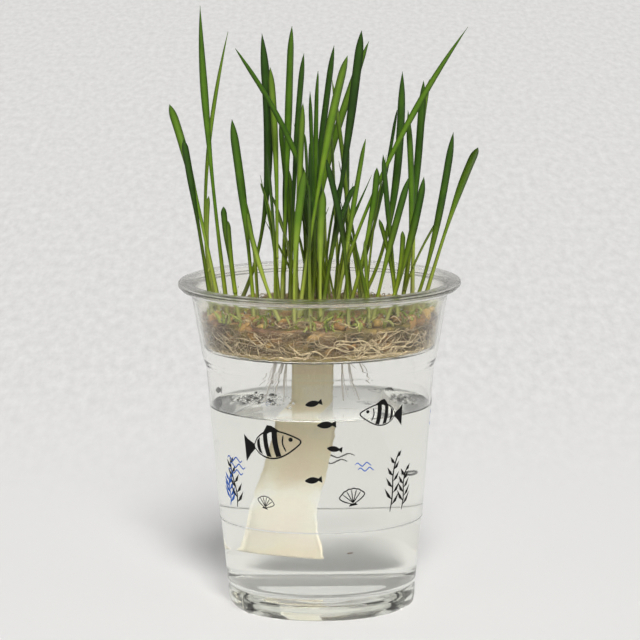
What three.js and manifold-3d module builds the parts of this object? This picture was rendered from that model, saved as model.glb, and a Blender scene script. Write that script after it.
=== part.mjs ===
// Wheatgrass grown on water: a clear drinking cup, a clear insert tray that hangs in its mouth,
// a mat of roots and sprouted grains in the tray, a felt wick down into the water, and the shoots.
// Millimetres, +Z up. The origin is on the surface that the cup stands on, under the cup's axis.

import * as THREE from "three";
import Module from "manifold-3d";
import { mergeVertices } from "three/addons/utils/BufferGeometryUtils.js";

const wasm = await Module();
wasm.setup();

// ---- driving dimensions -------------------------------------------------------------------------

const ROUND_SIDES = 40;
const GAP = 0.35;

const CUP_WALL = 0.7;
const CUP_UNDERSIDE_HEIGHT = 5;
const CUP_BEAD = { r: 47.3, z: 112.9, radius: 0.95 };
const CUP_OUTSIDE = [
  [0, CUP_UNDERSIDE_HEIGHT],
  [24.3, CUP_UNDERSIDE_HEIGHT],
  [27.2, 0],
  [29.8, 0],
  [32.4, 2.6],
  [32.8, 7.2],
  [32.2, 8.6],
  [33, 10],
  [35, 31],
  [35.5, 33.5],
  [39.7, 85.5],
  [40.8, 88.2],
  [44.4, 109.5],
  [45, 111.2],
];

const TRAY_WALL = 0.65;
const TRAY_SLOT_GAP = 0.5;
const TRAY_TOP = 115;
const TRAY_FLOOR = 91.6;
const TRAY_OUTSIDE = [
  [0, TRAY_FLOOR],
  [39.6, TRAY_FLOOR],
  [40.45, 92.5],
  [43.35, 110],
  [44.4, 113.6],
  [45.2, 114.25],
  [48.55, 114.25],
  [48.6, 113.3],
  [49.15, 113.3],
  [49.15, 114.4],
  [48.6, TRAY_TOP],
  [45, TRAY_TOP],
  [43.8, 113.9],
  [42.7, 110],
  [39.8, 92.9],
  [39.2, TRAY_FLOOR + TRAY_WALL],
  [0, TRAY_FLOOR + TRAY_WALL],
];

const WATER_LEVEL = 71;

const WICK_WIDTH = 15;
const WICK_THICKNESS = 1.5;
const WICK_STEPS = 18;
const WICK_END_SLANT = 1.9;
const WICK_ROUTE = [
  [-2.6, 5, 98.5],
  [-2.6, 5, 89],
  [-3, 7.5, 71],
  [-5.6, 13.5, 50],
  [-8.2, 16.5, 33.5],
  [-6.9, 26.3, 16.5],
];

const MAT_BOTTOM = TRAY_FLOOR + TRAY_WALL + GAP;
const MAT_TOP = 101.4;
const MAT_RADIUS_BOTTOM = 39.1;
const MAT_RADIUS_TOP = 40.8;
const MAT_SIDES = 66;
const MAT_LEVELS = 5;
const MAT_EDGE = 0.8;
const ROOT_RIDGE = 0.45;

const ROOT_RADIUS = 0.5;
const ROOT_SIDES = 5;
const ROOT_STEPS = 7;
const ROOT_HOLE_RADIUS = 1.3;
const ROOT_TIP_SHARE = 0.7;
const ROOT_DRIFT = 0.35;
const HANGING_ROOTS = [
  { from: [-14.5, -7], to: [-19.5, -9, 73.5] },
  { from: [-12, -3], to: [-16, -4, 75] },
  { from: [-11.5, -10], to: [-13, -12, 74] },
  { from: [-14, 9], to: [-17, 12, 77] },
  { from: [7.5, -5], to: [8, -7, 73.5] },
  { from: [9.5, -9], to: [13.2, -12, 74.5] },
  { from: [12.5, 3], to: [17, 5, 78] },
];

const SEED_BED_BOTTOM = MAT_TOP + GAP;
const SEED_BED_TOP = 103.8;
const SEED_BED_RADIUS = 41.1;
const GRAIN_COUNT = 96;
const GRAIN_REACH = 36.3;
const GRAIN_LENGTH = 8.4;
const GRAIN_WIDTH = 4.4;
const GRAIN_THICKNESS = 3.2;
const GRAIN_TILT = 0.4;
const GRAIN_SIZE = [0.9, 1.1];
const GOLDEN_ANGLE = Math.PI * (3 - Math.sqrt(5));
const SPIRAL_JITTER = 0.35;

const ROOTING_HEIGHT = SEED_BED_BOTTOM + 0.5;
const STEM_HOLE_RADIUS = 1.45;
const STEM_HOLE_SHARE = 0.09;
const STEM_HOLE_OVERRUN = [2, 4];

// A leaf's foot is a nearly round stem that narrows to its neck, flattens into the blade over a
// share of its length, and tapers over its last share into the tip.
const FOOT_RADIUS = 0.85;
const NECK_RADIUS = 0.7;
const NECK_SHARE = 0.3;
const STEM_FLATNESS = 0.92;
const BLADE_OPENING = [0.36, 0.72];
const BLADE_HALF_THICKNESS = 0.36;
const POINT_SHARE = 0.12;
const POINT_FULLNESS = 2.4;
const TIP_HALF_WIDTH = 0.3;
const LEAF_STATIONS = [0, 0.12, 0.28, 0.42, 0.54, 0.66, 0.78, 0.89, 0.95, 1];

const SIDE_LEAF_EVERY = 4;
const SIDE_LEAF_START = 0.2;
const SIDE_LEAF_TURNS = [0, 1, 2, 3, 4, 5];
const SIDE_LEAF_OPENING = [0, 0.3];
const SIDE_LEAF_RISE = 26;
const SIDE_LEAF_REACH = [2.2, 6.5];
const SIDE_LEAF_WIDTH = 0.75;

const MIDLINE_STEPS = 40;
const SHOOT_CLEARANCE = 3.3;
const FILLER_COUNT = 17;
const FILLER_CENTRE = -2;
const FILLER_SPREAD = [15, 33];
const FILLER_REACH = 35.9;
const FILLER_HEIGHT = [38, 70];
const FILLER_LEAN = 4;
const FILLER_BOW = 2;
const FILLER_WIDTH = [2, 2.8];

// One entry per shoot: where it roots, its middle, its tip, the blade's width, the turn of the
// blade's face about the vertical, in degrees, and its tapering share where that isn't the usual.
const SHOOTS = [
  { base: [-31.5, -9], middle: [-37.6, -12, 164], tip: [-40.1, -14, 212], width: 3, face: 10, point: 0.4 },
  { base: [-35.5, 8], middle: [-39.5, 11, 143], tip: [-31.2, 16, 200], width: 2.2, face: 60, point: 0.3 },
  { base: [-34, -3], middle: [-43.5, 1, 148], tip: [-51.9, 18, 174.5], width: 2.8, face: -20 },
  { base: [-36.6, -10], middle: [-42.5, -12, 142], tip: [-46.3, -14, 166], width: 2.4, face: 30 },
  { base: [-22.3, -21], middle: [-25, -18, 136], tip: [-29.6, -15, 173], width: 3, face: 0 },
  { base: [-27.1, -22], middle: [-31, -21, 128], tip: [-32.7, -20, 143.5], width: 2.2, face: 20 },
  { base: [-12.5, -28], middle: [-19.5, -27, 121], tip: [-24.6, -26, 142], width: 2.2, face: 10 },
  { base: [-1, -7], middle: [-4, -9, 149], tip: [-28.3, -12, 197], width: 2.6, face: 15 },
  { base: [-30, 5], middle: [-18.5, 6, 141], tip: [-19.3, 9, 200], width: 3.2, face: -5 },
  { base: [-15.5, 1], middle: [-14.6, 1, 150], tip: [-16.5, 2, 189], width: 2.4, face: 40 },
  { base: [-13.3, 10], middle: [-11, 12, 154], tip: [-8.9, 14, 202], width: 3, face: 5 },
  { base: [-10.4, -3], middle: [-8.4, -2, 150], tip: [-4.8, -1, 194], width: 2.4, face: 30 },
  { base: [-8.4, -14], middle: [-7.2, -14, 140], tip: [-5.2, -15, 178.5], width: 2.2, face: -30 },
  { base: [-3, 3], middle: [-2, 4, 138], tip: [-2.8, 6, 180], width: 1.8, face: 70 },
  { base: [-0.5, 15], middle: [-1, 15, 141], tip: [0, 16, 186], width: 2.6, face: 20 },
  { base: [-6, 22], middle: [-0.5, 22, 148], tip: [5.7, 20, 194.5], width: 2.6, face: 10 },
  { base: [-7.5, -20], middle: [1.2, -18, 156], tip: [10.2, -14, 194.5], width: 3.2, face: 0 },
  { base: [0, -25], middle: [8.8, -22, 158], tip: [15, -18, 203.5], width: 3, face: 5 },
  { base: [0, 29], middle: [0.5, 28, 140], tip: [17.9, 24, 195.5], width: 2.6, face: 10 },
  { base: [7.6, 11], middle: [10.3, 10, 134], tip: [4.9, 9, 183.5], width: 2, face: 50 },
  { base: [5, -12], middle: [10.2, -13, 132], tip: [16.2, -12, 165.5], width: 2.4, face: 20 },
  { base: [26.8, -20], middle: [24.6, -20, 131], tip: [22.1, -20, 161], width: 2.2, face: 30 },
  { base: [8.6, -18], middle: [17, -17, 134], tip: [20, -15.5, 156], width: 2.2, face: 15 },
  { base: [11, 4], middle: [24.5, 6, 134], tip: [29.3, 8, 186.5], width: 3, face: 5 },
  { base: [10.3, 20], middle: [20.8, 19, 137], tip: [27.5, 18, 172], width: 2, face: 45 },
  { base: [26.5, -4], middle: [31.8, -3, 130], tip: [31, -1, 174], width: 2.4, face: 25 },
  { base: [3.5, -2], middle: [23.5, -8, 156], tip: [51.5, -13, 204], width: 2.2, face: -35 },
  { base: [28.5, 9], middle: [33.2, 10, 140], tip: [36.7, 11, 183], width: 2.6, face: 10 },
  { base: [32.5, 16], middle: [34.3, 18, 147], tip: [38.9, 19, 182.5], width: 2.2, face: 30 },
  { base: [22, -24], middle: [29.6, -24.5, 126], tip: [36, -22, 153.5], width: 3, face: 0 },
  { base: [17.5, -27], middle: [22.8, -27.5, 125], tip: [30.8, -26, 154], width: 2.4, face: 10 },
  { base: [30.5, -9], middle: [38.8, -10, 127], tip: [46.4, -11, 167.5], width: 2.6, face: 0 },
  { base: [35, 1], middle: [46, -5, 139], tip: [54.4, -26, 164], width: 2.8, face: 10 },
  { base: [16.8, -33], middle: [16, -33, 114], tip: [12.5, -33, 131], width: 1.8, face: 20 },
  { base: [9.7, -33], middle: [8.2, -32, 133], tip: [2.5, -31, 161], width: 2.2, face: 15 },
];

const COLOURS = {
  clear: 0xe4e9ea,
  water: 0xdfe6e4,
  felt: 0xd9d2bf,
  roots: 0x9b8c66,
  grain: 0x8a6a3c,
  blade: 0x4f7a24,
};

// ---- general helpers ----------------------------------------------------------------------------

function material(colour, roughness, opacity = 1) {
  return new THREE.MeshStandardMaterial({
    color: colour,
    roughness,
    metalness: 0,
    opacity,
    transparent: opacity < 1,
  });
}

// Numbers from 0 to 1 that come out the same on every run.
function seededRandom(seed) {
  let state = seed;
  return () => {
    state = (Math.imul(state, 1664525) + 1013904223) >>> 0;
    return state / 4294967296;
  };
}

function blend(a, b, share) {
  return a + (b - a) * share;
}

// Rises smoothly from 0 at low to 1 at high.
function ramp(value, low, high) {
  const share = Math.min(Math.max((value - low) / (high - low), 0), 1);
  return share * share * (3 - 2 * share);
}

function solidFrom(geometry) {
  const bare = geometry.clone();
  bare.deleteAttribute("normal");
  bare.deleteAttribute("uv");
  const merged = mergeVertices(bare, 1e-4);
  const index = merged.getIndex().array;
  const faces = [];
  for (let i = 0; i < index.length; i += 3) {
    const [a, b, c] = [index[i], index[i + 1], index[i + 2]];
    if (a !== b && b !== c && c !== a) {
      faces.push(a, b, c);
    }
  }
  const mesh = new wasm.Mesh({
    numProp: 3,
    vertProperties: new Float32Array(merged.getAttribute("position").array),
    triVerts: new Uint32Array(faces),
  });
  return new wasm.Manifold(mesh);
}

// The main body of a solid, without the loose scraps that a cut left.
function largestBody(solid) {
  const bodies = solid.decompose();
  return bodies.reduce((best, body) => (body.volume() > best.volume() ? body : best));
}

function geometryFrom(solid) {
  const mesh = solid.getMesh();
  const geometry = new THREE.BufferGeometry();
  geometry.setAttribute("position", new THREE.BufferAttribute(mesh.vertProperties, 3));
  geometry.setIndex(new THREE.BufferAttribute(mesh.triVerts, 1));
  return geometry;
}

function addMesh(group, name, solid, finish) {
  const mesh = new THREE.Mesh(geometryFrom(solid), finish);
  mesh.name = name;
  group.add(mesh);
}

// A solid of revolution about Z from an outline of [radius, height] pairs.
function turned(outline, sides = ROUND_SIDES) {
  const points = outline.map(([r, z]) => new THREE.Vector2(r, z));
  const geometry = new THREE.LatheGeometry(points, sides);
  geometry.rotateX(Math.PI / 2);
  return solidFrom(geometry);
}

// The outline moved sideways by a distance, to the left of its own direction.
function offset(outline, distance) {
  return outline.map(([r, z], i) => {
    const before = outline[Math.max(i - 1, 0)];
    const after = outline[Math.min(i + 1, outline.length - 1)];
    const first = normalOf(before, [r, z]) ?? normalOf([r, z], after);
    const second = normalOf([r, z], after) ?? first;
    const scale = distance / (1 + first[0] * second[0] + first[1] * second[1]);
    return [Math.max(r + (first[0] + second[0]) * scale, 0), z + (first[1] + second[1]) * scale];
  });
}

function normalOf([r0, z0], [r1, z1]) {
  const length = Math.hypot(r1 - r0, z1 - z0);
  return length === 0 ? null : [-(z1 - z0) / length, (r1 - r0) / length];
}

function radiusAt(outline, z) {
  for (let i = outline.length - 1; i > 0; i -= 1) {
    const [r0, z0] = outline[i - 1];
    const [r1, z1] = outline[i];
    if (z0 <= z && z <= z1) {
      return blend(r0, r1, (z - z0) / (z1 - z0));
    }
  }
  return outline[0][0];
}

// A closed body through rings of points, with flat ends.
function lofted(rings) {
  const sides = rings[0].length;
  const positions = rings.flat(2);
  const faces = [];
  for (let k = 0; k + 1 < rings.length; k += 1) {
    for (let j = 0; j < sides; j += 1) {
      const a = k * sides + j;
      const b = k * sides + ((j + 1) % sides);
      faces.push(a, b, b + sides, a, b + sides, a + sides);
    }
  }
  const last = (rings.length - 1) * sides;
  for (let j = 1; j + 1 < sides; j += 1) {
    faces.push(0, j + 1, j, last, last + j, last + j + 1);
  }
  const geometry = new THREE.BufferGeometry();
  geometry.setAttribute("position", new THREE.Float32BufferAttribute(positions, 3));
  geometry.setIndex(faces);
  return solidFrom(geometry);
}

// A ring of points about a centre, square to a direction, with its wide side turned about Z.
function ringAcross(centre, direction, faceAngle, halfWidth, halfThickness, sides) {
  const wide = new THREE.Vector3(Math.cos(faceAngle), Math.sin(faceAngle), 0);
  wide.addScaledVector(direction, -wide.dot(direction)).normalize();
  const thick = new THREE.Vector3().crossVectors(direction, wide);
  const ring = [];
  for (let j = 0; j < sides; j += 1) {
    const turn = (2 * Math.PI * j) / sides;
    const point = centre
      .clone()
      .addScaledVector(wide, halfWidth * Math.cos(turn))
      .addScaledVector(thick, halfThickness * Math.sin(turn));
    ring.push(point.toArray());
  }
  return ring;
}

// ---- cup, tray and water ------------------------------------------------------------------------

function beadArc() {
  const { r, z, radius } = CUP_BEAD;
  const arc = [];
  for (let degrees = -110; degrees <= 150; degrees += 52) {
    const turn = THREE.MathUtils.degToRad(degrees);
    arc.push([r + radius * Math.cos(turn), z + radius * Math.sin(turn)]);
  }
  return arc;
}

function cupInside() {
  return offset(CUP_OUTSIDE, CUP_WALL);
}

function cupSolid() {
  return turned([...CUP_OUTSIDE, ...beadArc(), ...cupInside().reverse()]);
}

function waterSolid() {
  const bed = offset(CUP_OUTSIDE, CUP_WALL + GAP);
  const below = bed.filter(([, z]) => z < WATER_LEVEL);
  const surface = [
    [radiusAt(bed, WATER_LEVEL), WATER_LEVEL],
    [0, WATER_LEVEL],
  ];
  return turned([...below, ...surface]).subtract(wickSolid(GAP));
}

function traySolid() {
  let tray = turned(TRAY_OUTSIDE).subtract(wickSolid(TRAY_SLOT_GAP));
  for (const { from } of HANGING_ROOTS) {
    tray = tray.subtract(post([...from, MAT_BOTTOM], [...from, TRAY_FLOOR - 1], ROOT_HOLE_RADIUS, 8));
  }
  return tray;
}

// A straight round bar between two points.
function post(from, to, radius, sides) {
  const start = new THREE.Vector3(...from);
  const end = new THREE.Vector3(...to);
  const along = end.clone().sub(start).normalize();
  const rings = [start, end].map((centre) => ringAcross(centre, along, 0, radius, radius, sides));
  return lofted(rings);
}

// ---- wick ---------------------------------------------------------------------------------------

function wickSolid(extra) {
  const route = new THREE.CatmullRomCurve3(WICK_ROUTE.map((point) => new THREE.Vector3(...point)));
  const rings = [];
  for (let k = 0; k <= WICK_STEPS; k += 1) {
    const centre = route.getPoint(k / WICK_STEPS);
    const along = route.getTangent(k / WICK_STEPS);
    if (extra > 0 && k === 0) {
      centre.addScaledVector(along, -extra);
    }
    if (extra > 0 && k === WICK_STEPS) {
      centre.addScaledVector(along, extra);
    }
    const slant = k === WICK_STEPS ? WICK_END_SLANT : 0;
    rings.push(stripAcross(centre, along, WICK_WIDTH / 2 + extra, WICK_THICKNESS / 2 + extra, slant));
  }
  return lofted(rings);
}

// The four corners of the strip's section, cut square or longer at the +X side by a slant.
function stripAcross(centre, along, halfWidth, halfThickness, slant) {
  const wide = new THREE.Vector3(1, 0, 0);
  wide.addScaledVector(along, -wide.dot(along)).normalize();
  const thick = new THREE.Vector3().crossVectors(along, wide);
  const corners = [
    [1, 1],
    [-1, 1],
    [-1, -1],
    [1, -1],
  ];
  return corners.map(([w, t]) =>
    centre
      .clone()
      .addScaledVector(wide, w * halfWidth)
      .addScaledVector(thick, t * halfThickness)
      .addScaledVector(along, w * slant)
      .toArray(),
  );
}

// ---- roots and grains ---------------------------------------------------------------------------

// How far the tangle of roots stands out of the mat's side, by two crossing sets of ridges.
function ridgeHeight(turn, z) {
  const rising = Math.sin(15 * turn + 0.9 * z);
  const falling = Math.sin(19 * turn - 1.1 * z + 1.3);
  return ROOT_RIDGE * Math.max(rising, falling);
}

function matSolid() {
  const rings = [];
  for (let k = 0; k <= MAT_LEVELS; k += 1) {
    const share = k / MAT_LEVELS;
    const z = blend(MAT_BOTTOM, MAT_TOP, share);
    const edge = k === 0 || k === MAT_LEVELS ? MAT_EDGE : 0;
    const ring = [];
    for (let j = 0; j < MAT_SIDES; j += 1) {
      const turn = (2 * Math.PI * j) / MAT_SIDES;
      const mean = blend(MAT_RADIUS_BOTTOM, MAT_RADIUS_TOP, share) - ROOT_RIDGE - edge;
      const r = mean + ridgeHeight(turn, z);
      ring.push([r * Math.cos(turn), r * Math.sin(turn), z]);
    }
    rings.push(ring);
  }
  return lofted(rings);
}

// A root leaves the mat straight down through its hole in the tray and then drifts outwards.
function hangingRoot({ from: [x, y], to }) {
  const route = new THREE.CatmullRomCurve3([
    new THREE.Vector3(x, y, MAT_BOTTOM + 3),
    new THREE.Vector3(x, y, TRAY_FLOOR - 1),
    new THREE.Vector3(
      blend(x, to[0], ROOT_DRIFT),
      blend(y, to[1], ROOT_DRIFT),
      (TRAY_FLOOR + to[2]) / 2,
    ),
    new THREE.Vector3(...to),
  ]);
  const rings = [];
  for (let k = 0; k <= ROOT_STEPS; k += 1) {
    const share = k / ROOT_STEPS;
    const radius = blend(ROOT_RADIUS, ROOT_RADIUS * ROOT_TIP_SHARE, share);
    const along = route.getTangent(share);
    rings.push(ringAcross(route.getPoint(share), along, 0, radius, radius, ROOT_SIDES));
  }
  return lofted(rings);
}

function rootMatSolid() {
  const parts = [matSolid(), ...HANGING_ROOTS.map(hangingRoot)];
  return wasm.Manifold.union(parts).subtract(wickSolid(GAP));
}

// A grain is a long six-cornered bud with a ridge above and below, and it lies half sunk in the bed.
function grainSolid(x, y, yaw, tilt, size) {
  const ridge = [-0.22, 0.22];
  const rim = [
    [0.5, 0],
    [0.24, 0.5],
    [-0.24, 0.5],
    [-0.5, 0],
    [-0.24, -0.5],
    [0.24, -0.5],
  ];
  const corners = [
    ...rim.map(([along, across]) => [along * GRAIN_LENGTH, across * GRAIN_WIDTH, 0]),
    ...ridge.map((along) => [along * GRAIN_LENGTH, 0, GRAIN_THICKNESS / 2]),
    ...ridge.map((along) => [along * GRAIN_LENGTH, 0, -GRAIN_THICKNESS / 2]),
  ];
  const upper = [0, 1, 7, 1, 2, 7, 2, 6, 7, 2, 3, 6, 3, 4, 6, 4, 5, 6, 5, 7, 6, 5, 0, 7];
  const lower = upper.map((corner) => (corner < 6 ? corner : corner + 2)).reverse();
  const geometry = new THREE.BufferGeometry();
  geometry.setAttribute("position", new THREE.Float32BufferAttribute(corners.flat(), 3));
  geometry.setIndex([...upper, ...lower]);
  geometry.scale(size, size, size);
  geometry.rotateY(tilt);
  geometry.rotateZ(yaw);
  geometry.translate(x, y, SEED_BED_TOP);
  return solidFrom(geometry);
}

// Grains lie in a spiral that covers the bed evenly, each turned and shifted at random.
function seedLayerSolid(shoots) {
  const random = seededRandom(7);
  const bed = turned([
    [0, SEED_BED_BOTTOM],
    [SEED_BED_RADIUS - 0.5, SEED_BED_BOTTOM],
    [SEED_BED_RADIUS, SEED_BED_TOP],
    [0, SEED_BED_TOP],
  ]);
  const grains = [];
  for (let i = 0; i < GRAIN_COUNT; i += 1) {
    const r = GRAIN_REACH * Math.sqrt((i + 0.5) / GRAIN_COUNT);
    const turn = i * GOLDEN_ANGLE + SPIRAL_JITTER * (random() - 0.5);
    const yaw = 2 * Math.PI * random();
    const tilt = GRAIN_TILT * (random() - 0.5);
    const size = blend(...GRAIN_SIZE, random());
    grains.push(grainSolid(r * Math.cos(turn), r * Math.sin(turn), yaw, tilt, size));
  }
  const holes = shoots.map(([leaf]) => stemHole(leaf));
  return largestBody(wasm.Manifold.union([bed, ...grains]).subtract(wasm.Manifold.union(holes)));
}

function stemHole(leaf) {
  const low = leafPoint(leaf, 0);
  const high = leafPoint(leaf, STEM_HOLE_SHARE);
  const along = high.clone().sub(low).normalize();
  const start = low.clone().addScaledVector(along, -STEM_HOLE_OVERRUN[0]);
  const end = high.clone().addScaledVector(along, STEM_HOLE_OVERRUN[1]);
  return post(start.toArray(), end.toArray(), STEM_HOLE_RADIUS, 5);
}

// ---- shoots -------------------------------------------------------------------------------------

// A point on the leaf's midline, which starts at its root, passes its middle and ends in its tip.
function leafPoint({ base, middle, tip }, t) {
  const root = new THREE.Vector3(base[0], base[1], base[2] ?? ROOTING_HEIGHT);
  const end = new THREE.Vector3(...tip);
  const control = new THREE.Vector3(...middle).multiplyScalar(2);
  control.addScaledVector(root, -0.5).addScaledVector(end, -0.5);
  return new THREE.QuadraticBezierCurve3(root, control, end).getPoint(t);
}

function leafDirection(leaf, t) {
  const step = 0.01;
  const before = leafPoint(leaf, Math.max(t - step, 0));
  const after = leafPoint(leaf, Math.min(t + step, 1));
  return after.sub(before).normalize();
}

function leafSection(leaf, t) {
  const { width, opening = BLADE_OPENING, point = POINT_SHARE } = leaf;
  const opened = ramp(t, ...opening);
  const stem = blend(FOOT_RADIUS, NECK_RADIUS, ramp(t, 0, NECK_SHARE));
  const pointed = Math.max((t - 1 + point) / point, 0) ** POINT_FULLNESS;
  return {
    halfWidth: Math.max(blend(stem, width / 2, opened) * (1 - pointed), TIP_HALF_WIDTH),
    halfThickness: blend(stem * STEM_FLATNESS, BLADE_HALF_THICKNESS, opened),
  };
}

function leafSolid(leaf) {
  const face = THREE.MathUtils.degToRad(leaf.face);
  const rings = LEAF_STATIONS.map((t) => {
    const { halfWidth, halfThickness } = leafSection(leaf, t);
    const centre = leafPoint(leaf, t);
    return ringAcross(centre, leafDirection(leaf, t), face, halfWidth, halfThickness, 4);
  });
  return lofted(rings);
}

// A young second leaf that splits off the stem above the sheath, towards a turn about the vertical.
function sideLeaf(shoot, turn) {
  const start = leafPoint(shoot, SIDE_LEAF_START);
  const along = leafDirection(shoot, SIDE_LEAF_START);
  const reach = new THREE.Vector3(Math.cos(turn), Math.sin(turn), 0);
  const middle = start
    .clone()
    .addScaledVector(along, SIDE_LEAF_RISE / 2)
    .addScaledVector(reach, SIDE_LEAF_REACH[0]);
  const tip = start
    .clone()
    .addScaledVector(along, SIDE_LEAF_RISE)
    .addScaledVector(reach, SIDE_LEAF_REACH[1]);
  return {
    base: start.toArray(),
    middle: middle.toArray(),
    tip: tip.toArray(),
    width: shoot.width * SIDE_LEAF_WIDTH,
    face: THREE.MathUtils.radToDeg(turn) + 90,
    opening: SIDE_LEAF_OPENING,
  };
}

function midlinePoints(leaf) {
  return Array.from({ length: MIDLINE_STEPS + 1 }, (_, k) => leafPoint(leaf, k / MIDLINE_STEPS));
}

function standClear(points, others) {
  return points.every((a) => others.every((b) => a.distanceTo(b) > SHOOT_CLEARANCE));
}

// A seeded shoot, likeliest near the middle of the bed.
function fillerShoot(random) {
  const x = FILLER_CENTRE + FILLER_SPREAD[0] * (random() + random() - 1);
  const y = FILLER_SPREAD[1] * (2 * random() - 1);
  const height = blend(...FILLER_HEIGHT, random());
  const leanX = blend(-FILLER_LEAN, FILLER_LEAN, random());
  const leanY = blend(-FILLER_LEAN, FILLER_LEAN, random());
  const bow = blend(-FILLER_BOW, FILLER_BOW, random());
  return {
    base: [x, y],
    middle: [x + leanX * 0.4 + bow, y + leanY * 0.4, ROOTING_HEIGHT + height / 2],
    tip: [x + leanX, y + leanY, ROOTING_HEIGHT + height],
    width: blend(...FILLER_WIDTH, random()),
    face: 180 * random(),
  };
}

// Shoots as lists of leaves: the listed ones, seeded ones between them, and the second leaves.
// Each keeps clear of all that came before it.
function allShoots() {
  const shoots = SHOOTS.map((leaf) => [leaf]);
  const taken = shoots.map(([leaf]) => midlinePoints(leaf));
  const random = seededRandom(21);
  while (shoots.length < SHOOTS.length + FILLER_COUNT) {
    const leaf = fillerShoot(random);
    const points = midlinePoints(leaf);
    const onBed = Math.hypot(...leaf.base) < FILLER_REACH;
    if (onBed && taken.every((others) => standClear(points, others))) {
      shoots.push([leaf]);
      taken.push(points);
    }
  }
  for (let i = 1; i < shoots.length; i += SIDE_LEAF_EVERY) {
    const turns = SIDE_LEAF_TURNS.map((turn) => turn + i);
    const leaf = turns
      .map((turn) => sideLeaf(shoots[i][0], turn))
      .find((side) => taken.every((others, k) => k === i || standClear(midlinePoints(side), others)));
    if (leaf) {
      shoots[i].push(leaf);
      taken[i].push(...midlinePoints(leaf));
    }
  }
  return shoots;
}

function shootSolid(leaves) {
  return wasm.Manifold.union(leaves.map(leafSolid));
}

// ---- assembly -----------------------------------------------------------------------------------

const shoots = allShoots();
const plant = new THREE.Group();
addMesh(plant, "cup", cupSolid(), material(COLOURS.clear, 0.08, 0.35));
addMesh(plant, "insert_tray", traySolid(), material(COLOURS.clear, 0.1, 0.35));
addMesh(plant, "water", waterSolid(), material(COLOURS.water, 0.02, 0.4));
addMesh(plant, "wick", wickSolid(0), material(COLOURS.felt, 0.95));
addMesh(plant, "root_mat", rootMatSolid(), material(COLOURS.roots, 0.9));
addMesh(plant, "seed_layer", seedLayerSolid(shoots), material(COLOURS.grain, 0.75));
shoots.forEach((leaves, i) => {
  const name = `shoot_${String(i + 1).padStart(2, "0")}`;
  addMesh(plant, name, shootSolid(leaves), material(COLOURS.blade, 0.55));
});

export default plant;
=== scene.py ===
"""The looks of wheatgrass grown on water in a clear cup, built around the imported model.

Shapes are in millimetres, as in the part's source, and add_piece turns them into metres.
Materials work in the object's own coordinates, which are metres.
"""

import math
import random
from collections import namedtuple

import bpy
import numpy as np
from mathutils import Matrix, Vector, noise


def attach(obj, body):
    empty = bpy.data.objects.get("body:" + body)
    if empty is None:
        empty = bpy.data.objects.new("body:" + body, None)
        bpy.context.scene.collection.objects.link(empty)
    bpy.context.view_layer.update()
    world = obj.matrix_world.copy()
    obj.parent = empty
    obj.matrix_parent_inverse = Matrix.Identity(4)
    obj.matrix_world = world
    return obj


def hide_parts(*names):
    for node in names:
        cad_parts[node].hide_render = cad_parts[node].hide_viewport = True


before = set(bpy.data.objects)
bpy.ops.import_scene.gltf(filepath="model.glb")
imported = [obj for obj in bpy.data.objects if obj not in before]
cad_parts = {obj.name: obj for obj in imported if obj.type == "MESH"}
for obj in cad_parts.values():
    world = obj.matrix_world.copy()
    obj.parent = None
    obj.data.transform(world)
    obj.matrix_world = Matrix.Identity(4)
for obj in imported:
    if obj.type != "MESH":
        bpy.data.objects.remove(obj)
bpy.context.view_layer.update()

MM = 0.001
BODY = "root"
TURN = 2 * math.pi

# ---- sizes, as in the part's source ----------------------------------------------------------

GAP = 0.35
CUP_SIDES = 192
CUP_WALL = 0.7
GROOVE_HEIGHT = 32.3
RIDGE_HEIGHT = 32.1
CUP_BEAD_CENTRE = (47.3, 112.9)
CUP_BEAD_RADIUS = 0.95
CUP_OUTSIDE = [
    (0, 5), (24.3, 5), (27.2, 0), (29.8, 0), (32.4, 2.6), (32.8, 7.2), (32.2, 8.6),
    (33, 10), (35, 31), (35.5, 33.5), (39.7, 85.5), (40.8, 88.2), (44.4, 109.5), (45, 111.2),
]

TRAY_FLOOR = 91.6
TRAY_WALL = 0.65
TRAY_SIDE_LOW = (40.1, 92.9)
TRAY_SIDE_HIGH = (42.98, 110)
TRAY_OUTLINE = [
    (0, 91.6), (39.6, 91.6), (40.45, 92.5), (43.35, 110), (44.4, 113.6), (45.2, 114.25),
    (48.55, 114.25), (48.6, 113.3), (49.15, 113.3), (49.15, 114.4), (48.6, 115), (45, 115),
    (43.8, 113.9), TRAY_SIDE_HIGH, TRAY_SIDE_LOW, (39.3, 92.1), (0, 92.1),
]

WATER_LEVEL = 71
MENISCUS = 0.9

WICK_WIDTH = 15
WICK_THICKNESS = 1.5
WICK_ROUTE = [
    (-2.6, 5, 98.5),
    (-2.6, 5, 89),
    (-3, 7.5, 71),
    (-5.6, 13.5, 50),
    (-8.2, 16.5, 33.5),
    (-6.9, 26.3, 16.5),
]
WICK_END_SLANT = 1.9

MAT_BOTTOM = TRAY_FLOOR + TRAY_WALL + GAP
MAT_TOP = 101.4
MAT_REACH = 38.3
HANGING_ROOTS = [
    ((-14.5, -7), (-19.5, -9, 73.5)),
    ((-12, -3), (-16, -4, 75)),
    ((-11.5, -10), (-13, -12, 74)),
    ((-14, 9), (-17, 12, 77)),
    ((7.5, -5), (8, -7, 73.5)),
    ((9.5, -9), (13.2, -12, 74.5)),
    ((12.5, 3), (17, 5, 78)),
]
ROOT_HOLE_RADIUS = 1.3

SEED_BED_BOTTOM = MAT_TOP + GAP
SEED_BED_TOP = 103.8
GRAIN_COUNT = 96
GRAIN_REACH = 36.3
GRAIN_LENGTH = 7.2
GRAIN_WIDTH = 3.7
GRAIN_THICKNESS = 3.2
SMALL_GRAIN_COUNT = 120
SIDE_GRAIN_COUNT = 46
SPROUT_COUNT = 480
DROP_COUNT = 150
GOLDEN_ANGLE = math.pi * (3 - math.sqrt(5))

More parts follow.
